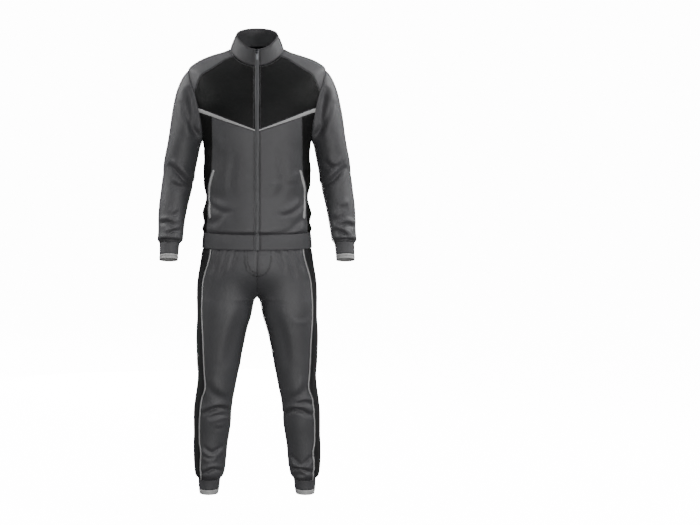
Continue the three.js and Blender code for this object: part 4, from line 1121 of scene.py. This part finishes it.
def thread(name, slot, base):
    """Matt polyester sewing thread. Its stitches are drawn 1.1 mm wide, about three times the real size, so
    that they can show."""
    return name, slot, plain_plastic(name, base, 0.62)


# Nearly black on the grey cloth, and grey on the black. On the grey cloth the near-black colour, sewn in twin
# rows, is partly thread and partly painted shade for the shadow in the seams' grooves
THREAD_WITH_PAINTED_SEAM_SHADE = thread("grey_polyester_thread", "grey_knit", "#0b0b0c")
BLACK_THREAD = thread("black_polyester_thread", "black_knit", "#444446")

# How far inside the edge a row of stitches runs, by what lies at the edge
AT_SEAM = 2.6
AT_HEM = 3.0
AT_ZIP = 4.6
AT_NECK = 6.0
AT_RIM = 4.0
AT_CUFF = 6.5


def rows_of(sewing_thread, **insets):
    """Rows of stitches, each given by the edge that it follows and how far inside that edge it runs."""
    return [(edge, inset, sewing_thread) for edge, inset in insets.items()]


# Jacket
def both_sides(name, surface, grid, material, part, **options):
    for suffix, flip in (("left", False), ("right", True)):
        cloth(f"{name}_{suffix}", surface, grid, material, part, flip, **options)


def at_neck(angles):
    return placed(angles, NECK)


yoke_at_neck = float(YOKE_SEAM["angle"][-1])
zip_at_neck = float(body_angle(ZIP_HALF, NECK))
neck_chest = steps(zip_at_neck, yoke_at_neck, len(PIPE_SHARES) - 1)
neck_shoulder = steps(yoke_at_neck, SHOULDER_SEAM, len(ARM["shoulder"]) - 1)
yoke_stations = refine([YOKE_END, -68, SHOULDER, 10, 57, 94, NECK])
yoke_edge = placed(read(YOKE_SEAM, "angle", yoke_stations), yoke_stations)
seam_share = steps(0, 1, len(yoke_stations) - 1)
shoulder_turn = mix(90, SHOULDER_SEAM, np.minimum(1, 3 * seam_share))
shoulder_seam = placed(shoulder_turn, mix(SHOULDER, NECK, seam_share))
pipe_top, pipe_low = pipe_edge(PIPE_TOP, PIPE_SHARES), pipe_edge(PIPE_LOW, PIPE_SHARES)
front_columns = 5 * FINE + 1
side_rows = refine([HEM_TOP, -541, -520, -494, -470, -439, -412, -382, -350, -310, -270, -225])
row_share = steps(0, 1, len(side_rows) - 1)
# How early the side panel's rows leave the front's level, before and behind
FRONT_BEND = 3
BACK_BEND = 1.5
BAND_ROLL = 0.5


def zip_edge(v):
    return placed(body_angle(ZIP_HALF, v), v)


def side_front_edge():
    top = pipe_low[front_columns - 1]
    v = mix(side_rows, mix(HEM_TOP, top[1], row_share), row_share**FRONT_BEND)
    edge = placed(body_angle(read(SIDE_FRONT, "x", v), v), v)
    edge[-1] = top
    return edge


def side_back_edge():
    v = mix(side_rows, mix(HEM_TOP, SIDE_BACK_TOP, row_share), row_share**BACK_BEND)
    return placed(np.full(len(v), ARM["side_back"][-1, 0]), v)


def hem_line(start, end, count):
    return placed(steps(start, end, count - 1), HEM_TOP)


def band_ends(low, top, count, last=-1):
    """The two short ends of a narrow band between two edges, cut into equal steps."""
    rise = steps(0, 1, count)[:, None]
    return [mix(low[k], top[k], rise) for k in (0, last)]


def make_fronts():
    outer = joined(ARM["chest"][::-1], yoke_edge)
    inner = zip_edge(steps(PIPE_TOP[0], NECK, len(outer) - 1))
    chest = with_edges(grid_between(pipe_top, at_neck(neck_chest), inner, outer))
    rows = rows_of(BLACK_THREAD, start=AT_SEAM, end=AT_NECK, left=AT_ZIP, right=AT_SEAM)
    both_sides("chest_yoke", body, chest, BLACK_KNIT, "body", sewn=rows)
    low = ARM["shoulder"][::-1]
    shoulder = with_edges(grid_between(low, at_neck(neck_shoulder), yoke_edge, shoulder_seam))
    rows = rows_of(THREAD_WITH_PAINTED_SEAM_SHADE, start=AT_SEAM, end=AT_NECK, left=AT_SEAM)
    both_sides("shoulder_front", body, shoulder, GREY_KNIT, "body", sewn=rows)
    piping = with_edges(grid_between(pipe_low, pipe_top, *band_ends(pipe_low, pipe_top, 4)))
    both_sides("chest_piping", body, piping, LIGHT_TRIM, "body", roll=BAND_ROLL)
    side_front, side_back = side_front_edge(), side_back_edge()
    v = side_rows.copy()
    v[-1] = PIPE_LOW[0]
    low = hem_line(float(body_angle(ZIP_HALF, HEM_TOP)), side_front[0, 0], front_columns)
    front = with_edges(grid_between(low, pipe_low[:front_columns], zip_edge(v), side_front))
    rows = rows_of(THREAD_WITH_PAINTED_SEAM_SHADE, start=AT_HEM, end=AT_SEAM, left=AT_ZIP, right=AT_SEAM)
    both_sides("front", body, front, GREY_KNIT, "body", sewn=rows)
    top = joined(pipe_low[front_columns - 1:], ARM["side"], ARM["side_back"])
    low = hem_line(side_front[0, 0], side_back[0, 0], len(top))
    side = with_edges(grid_between(low, top, side_front, side_back))
    both_sides("side", body, side, BLACK_KNIT, "body", sewn=rows_of(BLACK_THREAD, start=AT_HEM))


def make_back():
    left = joined(side_back_edge(), ARM["back"])
    right = placed(360 - left[:, 0], left[:, 1])
    top = across_back(STRIPE_LOW_EDGE)
    low = hem_line(left[0, 0], right[0, 0], len(top))
    rows = rows_of(THREAD_WITH_PAINTED_SEAM_SHADE, start=AT_HEM, end=AT_SEAM, left=AT_SEAM, right=AT_SEAM)
    cloth("back", body, with_edges(grid_between(low, top, left, right)), GREY_KNIT, sewn=rows)
    left = joined(ARM["yoke_back"], shoulder_seam)
    right = placed(360 - left[:, 0], left[:, 1])
    low = across_back(STRIPE_HIGH_EDGE)
    neck = at_neck(steps(SHOULDER_SEAM, 360 - SHOULDER_SEAM, len(low) - 1))
    rows = rows_of(BLACK_THREAD, start=AT_SEAM, end=AT_NECK)
    cloth("back_yoke", body, with_edges(grid_between(low, neck, left, right)), BLACK_KNIT, sewn=rows)
    ends = band_ends(STRIPE_LOW_EDGE, STRIPE_HIGH_EDGE, 5)
    stripe = with_edges(grid_between(STRIPE_LOW_EDGE, STRIPE_HIGH_EDGE, *ends))
    both_sides("back_stripe", body, stripe, LIGHT_TRIM, "body", roll=BAND_ROLL)


CAP_ROWS = 5 * FINE
CAP_POINT = 0.6
CAP_BEND = 1.25
RING_COLUMNS = 96
# Where the sleeve's rows lie below its first ring, closer together in the creases at the elbow and the cuff
SLEEVE_DROPS = [305, 332, 354, 374, 394, 416, 442, 472, 500, 526, 548, 564, 577, SLEEVE_END]


def cap_edge(turn):
    t = steps(0, 1, CAP_ROWS)
    return placed(turn * (1 - t**CAP_BEND), CAP_POINT * t)


def ring_grid(stations):
    return np.stack(np.meshgrid(steps(-180, 180, RING_COLUMNS)[:-1], stations), axis=-1)


def make_sleeves():
    """The grey sleeve, cut out round the cap, then the cap, its stripe and the cuff."""
    back_count = len(joined(ARM["side_back"], ARM["back"]))
    stripe_count = back_count + len(ARM["stripe"]) - 1
    loop_count = len(BACK_LOOP)
    inner = cap_edge(ARM_TURNS[back_count - 1])
    outer = cap_edge(ARM_TURNS[stripe_count - 1])
    behind = joined(placed(ARM_TURNS[:back_count], 0), inner)
    ahead = ARM_TURNS[loop_count:]
    lower = refine([CAP_POINT, 0.8, 1, *sleeve_station(SLEEVE_DROPS)])
    rows = joined(steps(0, CAP_POINT, CAP_ROWS), lower)
    columns = len(behind) + len(ahead)
    grid = np.zeros((len(rows), columns, 2))
    present = np.ones((len(rows), columns), dtype=bool)
    grid[:, :len(behind), 0], grid[:, len(behind):, 0] = behind[:, 0], ahead
    grid[:, len(behind):, 1] = rows[:, None]
    share = np.clip((rows - CAP_POINT) / (1 - CAP_POINT), 0, 1)[:, None]
    lifted = mix(behind[None, :, 1], 1.0, share)
    grid[:, :len(behind), 1] = np.where(rows[:, None] >= 1, rows[:, None], lifted)
    grid[:CAP_ROWS, len(behind) - 1, 1] = rows[:CAP_ROWS]
    present[:CAP_ROWS, :len(behind) - 1] = False
    sewn = rows_of(THREAD_WITH_PAINTED_SEAM_SHADE, end=AT_HEM)
    both_sides("sleeve", sleeve, grid, GREY_KNIT, "sleeve", present=present, sewn=sewn)

    line = placed(0, steps(0, CAP_POINT, CAP_ROWS))
    cap_turns = ARM_TURNS[stripe_count - 1:loop_count]
    rise = steps(0, 1, len(cap_turns) - 1)[:, None]
    cap = grid_between(placed(cap_turns, 0), mix(outer[-2], line[-2], rise), outer[:-1], line[:-1])
    both_sides("sleeve_cap", sleeve, with_edges(cap), BLACK_KNIT, "sleeve")
    stripe = grid_between(*band_ends(inner, outer, 5, last=-2), inner[:-1], outer[:-1])
    both_sides("sleeve_stripe", sleeve, with_edges(stripe), LIGHT_TRIM, "sleeve", roll=BAND_ROLL)

    cuff_end = SLEEVE_END + CUFF_RIB
    ring = ring_grid(sleeve_station(steps(SLEEVE_END, cuff_end, 12)))
    both_sides("cuff", sleeve, ring, GREY_RIB, "cuff", closed=True, thick=RIB)
    ring = ring_grid(sleeve_station(steps(cuff_end, cuff_end + CUFF_EDGE, 8)))
    sewn = rows_of(THREAD_WITH_PAINTED_SEAM_SHADE, start=AT_CUFF)
    both_sides("cuff_edge", sleeve, ring, LIGHT_TRIM, "cuff", closed=True, thick=RIB, free=(-1,), sewn=sewn)


def make_collar():
    t = steps(0, 1, 14)
    back = steps(SHOULDER_SEAM, 360 - SHOULDER_SEAM, 60)[1:-1]
    half = np.concatenate([neck_chest, neck_shoulder[1:]])
    grid = np.stack(np.meshgrid(np.concatenate([half, back, 360 - half[::-1]]), t), axis=-1)
    zip_angle = bisect(lambda angle: collar(angle, t)[..., 0] - ZIP_HALF, t * 0 + 0.5, t * 0 + 20)
    grid[:, 0, 0], grid[:, -1, 0] = zip_angle, 360 - zip_angle
    rows = rows_of(THREAD_WITH_PAINTED_SEAM_SHADE, end=AT_RIM, left=AT_ZIP, right=AT_ZIP)
    cloth("collar", collar, grid, GREY_KNIT_WITH_PAINTED_SHADE, "collar", thick=COLLAR_WALL, free=(-1,), sewn=rows)


def make_hem_band():
    zip_angle = float(body_angle(ZIP_HALF, HEM_TOP))
    around = steps(zip_angle, 360 - zip_angle, 200)
    grid = np.stack(np.meshgrid(around, steps(HEM_BOTTOM, HEM_TOP, 14)), axis=-1)
    rows = rows_of(THREAD_WITH_PAINTED_SEAM_SHADE, left=AT_ZIP, right=AT_ZIP)
    cloth("hem_band", hem, grid, GREY_RIB, "hem", thick=RIB, free=(0,), sewn=rows)


WELT_LOW = -505.0
WELT_HIGH = -350.0
WELT = table("z x", [
    (WELT_LOW, 150.5), (-467, 153), (-440, 152.5), (-414, 152), (-383, 147), (WELT_HIGH, 139),
])
WELT_HALF = 4.6
WELT_LIFT = 1.4
WELT_CROWN = 0.8


def make_welts():
    """A padded strip with round ends, laid on the front."""
    z = steps(WELT_LOW, WELT_HIGH, 60)
    end = np.minimum(z - WELT_LOW, WELT_HIGH - z) / WELT_HALF
    round_end = np.where(end < 1, np.sqrt(1 - (1 - np.clip(end, 0.04, 1)) ** 2), 1)
    angle = body_angle(read(WELT, "x", z), z)
    one = length_of(body(angle + 0.5, z) - body(angle - 0.5, z))
    reach = (WELT_HALF * round_end / one)[:, None]
    grid = placed(angle[:, None] + reach * steps(-1, 1, 8)[None], z[:, None])
    form = {"lift": WELT_LIFT, "crown": WELT_CROWN, "thick": WELT_WALL, "roll": 0.6}
    both_sides("pocket_welt", body, grid, LIGHT_TRIM, "body", **form)


# Trousers
LEG_ROWS = [
    WAIST_SEAM, 602, 618, 640, 668, 695, 720, 741, 755, 762, CROTCH, 770, 777, 786, 825, 864, 903, 942,
    975, 1008, 1036, 1062, 1085, 1104, 1122, 1142, 1165, 1195, 1225, 1252, 1280, 1305, 1324, 1342, 1354,
    ANKLE_SEAM,
]
CORD = {"crown": 1.7, "roll": 0.4}


def make_trousers():
    drop = refine(LEG_ROWS)
    front, back = stripe_turn(STRIPE_FRONT, drop, 1), stripe_turn(STRIPE_BACK, drop, -1)
    front_outer, back_outer = turn_on(front, drop, PIPING_WIDE), turn_on(back, drop, -PIPING_WIDE)
    front_rows = rows_of(THREAD_WITH_PAINTED_SEAM_SHADE, end=AT_HEM, left=AT_SEAM)
    back_rows = rows_of(THREAD_WITH_PAINTED_SEAM_SHADE, end=AT_HEM, right=AT_SEAM)
    spans = {
        "trouser_front": (front_outer, drop * 0 + 180, 36, GREY_KNIT, {"sewn": front_rows}),
        "leg_piping_front": (front, front_outer, 6, LIGHT_TRIM, CORD),
        "side_stripe": (back, front, 26, BLACK_KNIT_WITH_PAINTED_LIGHT, {}),
        "leg_piping_back": (back_outer, back, 6, LIGHT_TRIM, CORD),
        "trouser_back": (drop * 0 - 180, back_outer, 42, GREY_KNIT, {"sewn": back_rows}),
    }
    for name, (start, end, count, material, options) in spans.items():
        grid = placed(mix(start[:, None], end[:, None], steps(0, 1, count)[None]), drop[:, None])
        grid = grid if material is LIGHT_TRIM else with_edges(grid)
        both_sides(name, leg, grid, material, "leg", **options)
    cuff_end = ANKLE_SEAM + ANKLE_RIB
    ring = ring_grid(steps(ANKLE_SEAM, cuff_end, 10))
    both_sides("ankle_cuff", leg, ring, GREY_RIB, "cuff", closed=True, thick=RIB)
    ring = ring_grid(steps(cuff_end, cuff_end + ANKLE_EDGE, 10))
    both_sides("ankle_edge", leg, ring, LIGHT_TRIM, "cuff", closed=True, thick=RIB, free=(-1,))


# The fly's two lines of stitching, in the photograph's pixels, and the pairs of rows beside each line
FLY_OUTER = [(244.8, 236), (244.8, 252), (245.6, 260), (248.6, 266.5), (253, 270), (257.6, 271), (262.4, 270),
             (267, 266.5), (269.8, 260), (270.5, 252), (270.5, 236)]
FLY_INNER = [(247.6, 236), (247.6, 252), (248.4, 259), (250.8, 264.4), (254.2, 267.2), (257.6, 268)]
FLY_ROWS = ((FLY_OUTER, (-1.1, 1.1)), (FLY_INNER, (0,)))
FLY_LIFT = 0.1


def make_fly():
    """The fly's stitching, laid on the fronts of the trousers. Its outer line is sewn twice, which widens the
    near-black thread that paints the shade of the fly's seam groove.
    """
    for pixels, rows in FLY_ROWS:
        line = photo_line("front", pixels)
        x, drop = np.abs(line[:, 0]), -line[:, 1]
        turn = bisect(lambda turn: leg(turn, drop)[..., 0] - x, drop * 0 + 4, drop * 0 + 180)
        side = xyz(np.where(line[:, 0] < 0, -1, 1), 1, 1)
        points, normals = leg(turn, drop) * side, normals_of(leg, placed(turn, drop)) * side
        points = points + normals * (relief(points, normals, "leg") + FLY_LIFT)[..., None]
        across = unit(np.cross(normals, np.gradient(points, axis=0)))
        for row in rows:
            sew_line(points + across * row, normals, THREAD_WITH_PAINTED_SEAM_SHADE)


def waist(angle, z):
    right = angle > 180
    turn = 180 - 2 * np.where(right, 360 - angle, np.abs(angle))
    point = hip(turn, -z)
    point[..., 0] *= np.where(right, -1, 1)
    return point


def make_waistband():
    around = steps(0, 360, 160)[:-1] + 0.01
    grid = np.stack(np.meshgrid(around, steps(-WAIST_SEAM, -WAIST_TOP, 8)), axis=-1)
    cloth("waistband", waist, grid, GREY_RIB, "waist", closed=True, thick=RIB, free=(-1,))


# Zip: the tape from the middle outwards, and how far each place on it lies under the front's surface
TAPE_ACROSS = np.array([-0.1, 1.6, 3.0, 4.6, 7.2])
TAPE_SINK = np.array([-0.4, -0.3, -0.5, -0.7, -1.5])
TAPE_ROWS = 321
TOOTH_PITCH = 2.0
TOOTH_HALF = (1.5, 0.75, 0.42)
TOOTH_ROOT = 1.35
TOOTH_OUT = 0.75
TOOTH_AHEAD = -0.1


def zip_line(count):
    """The front centre of hem band, body and collar, as evenly spaced points."""
    low = hem(np.zeros(12), steps(HEM_BOTTOM, HEM_TOP, 11))
    middle = body(np.zeros(140), steps(HEM_TOP + 3, NECK - 1, 139))
    line = np.concatenate([low, middle, collar(np.zeros(14), steps(0, 1, 13))])
    run = run_along(line)
    return at_runs(line, run, np.linspace(0, run[-1], count)), run[-1]


def make_zip():
    line, length = zip_line(TAPE_ROWS)
    along = np.gradient(line, axis=0)
    outward = unit(xyz(0, -along[:, 2], along[:, 1]))
    for suffix, side in (("left", 1), ("right", -1)):
        points = line[:, None] + outward[:, None] * TAPE_SINK[None, :, None]
        points = points + (TAPE_ACROSS * side)[None, :, None] * (1, 0, 0)
        make_tape(f"woven_zip_tape_{suffix}", points, outward, side, f"zip_tape_{suffix}")
    make_teeth(length)
    carried("slider", DARK_METAL, "zip_slider", "suit", 0.35)
    carried("pull_tab", SATIN_METAL, "zip_pull", "pull", 0.3)


def make_tape(name, points, outward, side, node):
    rows, columns = points.shape[:2]
    quads = grid_quads(np.arange(rows * columns).reshape(rows, columns))
    if side < 0:
        quads = quads[:, ::-1]
    flat = points.reshape(-1, 3)
    inner = flat - np.repeat(outward, columns, axis=0) * TAPE_WALL
    uv = np.tile(flat[:, [0, 2]], (2, 1))
    piece = suit_piece(name, np.concatenate([flat, inner]), wall_faces(quads, len(flat)), TAPE, uv)
    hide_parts(node)
    declare_cut(points)


TOOTH = np.array([(x, y, z) for x in (-1, 1) for y in (-1, 1) for z in (-1, 1)], dtype=float)
TOOTH_FACES = np.array([(0, 1, 3, 2), (4, 6, 7, 5), (0, 4, 5, 1), (2, 3, 7, 6), (0, 2, 6, 4), (1, 5, 7, 3)])


def make_teeth(length):
    """Moulded teeth up both tapes, those of one side half a pitch above the other's, with thicker roots."""
    line, _ = zip_line(int(length / TOOTH_PITCH) + 1)
    points, faces = [], []
    for k, centre in enumerate(line[:-4]):
        for side in (1, -1):
            middle = centre + ((0 if side > 0 else 0.5) * (line[k + 1] - centre))
            shape = TOOTH * TOOTH_HALF
            shape[TOOTH[:, 0] * side < 0] *= (1, 1, TOOTH_ROOT)
            faces.append(TOOTH_FACES + 8 * len(points))
            points.append(middle + shape + (TOOTH_OUT * side, TOOTH_AHEAD, 0))
    piece = suit_piece("zip_teeth", np.concatenate(points), np.concatenate(faces), TEETH, smooth=False)


def carried(name, material, node, body_name, bevel):
    """A hard piece of the zip in its carried-over place, with the edges broken as cast metal has them."""
    piece = put(name, bpy.data.objects[node].data.copy())
    piece.data.name = name
    merge = piece.modifiers.new("merge", "WELD")
    merge.merge_threshold = 0.01 * MM
    rounding = piece.modifiers.new("rounding", "BEVEL")
    rounding.width, rounding.segments, rounding.limit_method = bevel * MM, 3, "ANGLE"
    rounding.angle_limit = math.radians(40)
    bpy.context.view_layer.update()
    mesh = bpy.data.meshes.new_from_object(piece.evaluated_get(bpy.context.evaluated_depsgraph_get()))
    piece.modifiers.clear()
    piece.data = mesh
    mesh.materials.clear()
    mesh.materials.append(material)
    mesh.polygons.foreach_set("use_smooth", [True] * len(mesh.polygons))
    mesh.set_sharp_from_angle(angle=math.radians(35))
    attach(piece, body_name)
    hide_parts(node)


# Camera, light and stage, in metres and watts
EYE = (0.0, -5.5, -0.16)
AIM = (0.0, 0.0, -0.652)
CLOSER = 1.004
SENSOR = 36.0
FRONT_SHIFT = (PHOTO_WIDE / 2 - FRONT_CENTRE) / PHOTO_WIDE


def place_facing(thing, place, aim):
    """Stands a camera or lamp in its place, facing its aim, and gives the distance between the two."""
    way = Vector(aim) - Vector(place)
    thing.location = place
    thing.rotation_mode = "QUATERNION"
    thing.rotation_quaternion = way.to_track_quat("-Z", "Y")
    return way.length


def make_camera():
    camera = put("camera", bpy.data.cameras.new("camera"))
    distance = place_facing(camera, EYE, AIM)
    camera.data.sensor_width = SENSOR
    camera.data.lens = CLOSER * SENSOR / PHOTO_WIDE * distance / (PIXEL * MM)
    camera.data.shift_x = FRONT_SHIFT
    bpy.context.scene.camera = camera


def area_light(name, place, aim, size, energy):
    light = bpy.data.lights.new(name, "AREA")
    light.shape, light.size, light.size_y = "RECTANGLE", size[0], size[1]
    light.energy = energy
    place_facing(put(name, light), place, aim)


MIDDLE = (0, 0, -0.6)
SHINS = (0, 0, -1.15)
NAPE = (0, 0, -0.1)
AMBIENT = 0.045
BACKDROP = 14.0


def make_lights():
    """The same soft lights before and behind, with the brighter side light on the wearer's left."""
    for name, ahead in (("ahead", 1), ("behind", -1)):
        area_light(f"low_{name}", (0.5 * ahead, -3.2 * ahead, -1.35), SHINS, (0.9, 0.5), 60)
        area_light(f"key_{name}", (1.3 * ahead, -4.4 * ahead, 0.5), MIDDLE, (1.0, 1.0), 63)
        area_light(f"side_left_{name}", (2.7, -1.0 * ahead, 1.4), MIDDLE, (0.6, 2.2), 88)
        area_light(f"side_right_{name}", (-2.7, -1.0 * ahead, 1.4), MIDDLE, (0.6, 2.2), 72)
        area_light(f"top_{name}", (0, -1.2 * ahead, 2.6), NAPE, (1.8, 0.8), 20)


def make_world():
    """A dim even light on the garment, with a plain white backdrop behind it."""
    world = bpy.data.worlds.new("studio")
    world.use_nodes = True
    tree = world.node_tree
    tree.nodes.clear()
    dim = add_node(tree, "ShaderNodeBackground", Color=linear("#ffffff"), Strength=AMBIENT)
    white = add_node(tree, "ShaderNodeBackground", Color=linear("#ffffff"), Strength=BACKDROP)
    seen = add_node(tree, "ShaderNodeLightPath").outputs["Is Camera Ray"]
    both = add_node(tree, "ShaderNodeMixShader", Fac=seen, n1=dim.outputs[0], n2=white.outputs[0])
    add_node(tree, "ShaderNodeOutputWorld", Surface=both.outputs[0])
    bpy.context.scene.world = world


FLOOR = -1.50
FLOOR_WIDE = 12.0


def make_stage():
    """A pale floor just below the ankles. It is so evenly lit that it shows as white as the backdrop."""
    material, tree = new_material("pale_studio_floor")
    shader = add_node(
        tree, "ShaderNodeBsdfPrincipled", Base_Color=linear("#f4f4f4"), Roughness=0.9,
        Emission_Color=linear("#ffffff"), Emission_Strength=BACKDROP,
    )
    finish_material(tree, shader)
    corners = [(-1, -1), (1, -1), (1, 1), (-1, 1)]
    mesh = bpy.data.meshes.new("studio_floor")
    mesh.from_pydata([(x * FLOOR_WIDE, y * FLOOR_WIDE, FLOOR) for x, y in corners], [], [(0, 1, 2, 3)])
    mesh.materials.append(material)
    floor = put("studio_floor", mesh)
    floor.visible_diffuse = False
    floor.visible_glossy = False


make_camera()
make_fronts()
make_back()
make_sleeves()
make_collar()
make_hem_band()
make_welts()
make_trousers()
make_waistband()
make_fly()
make_zip()
make_stitches()
make_lights()
make_world()
make_stage()
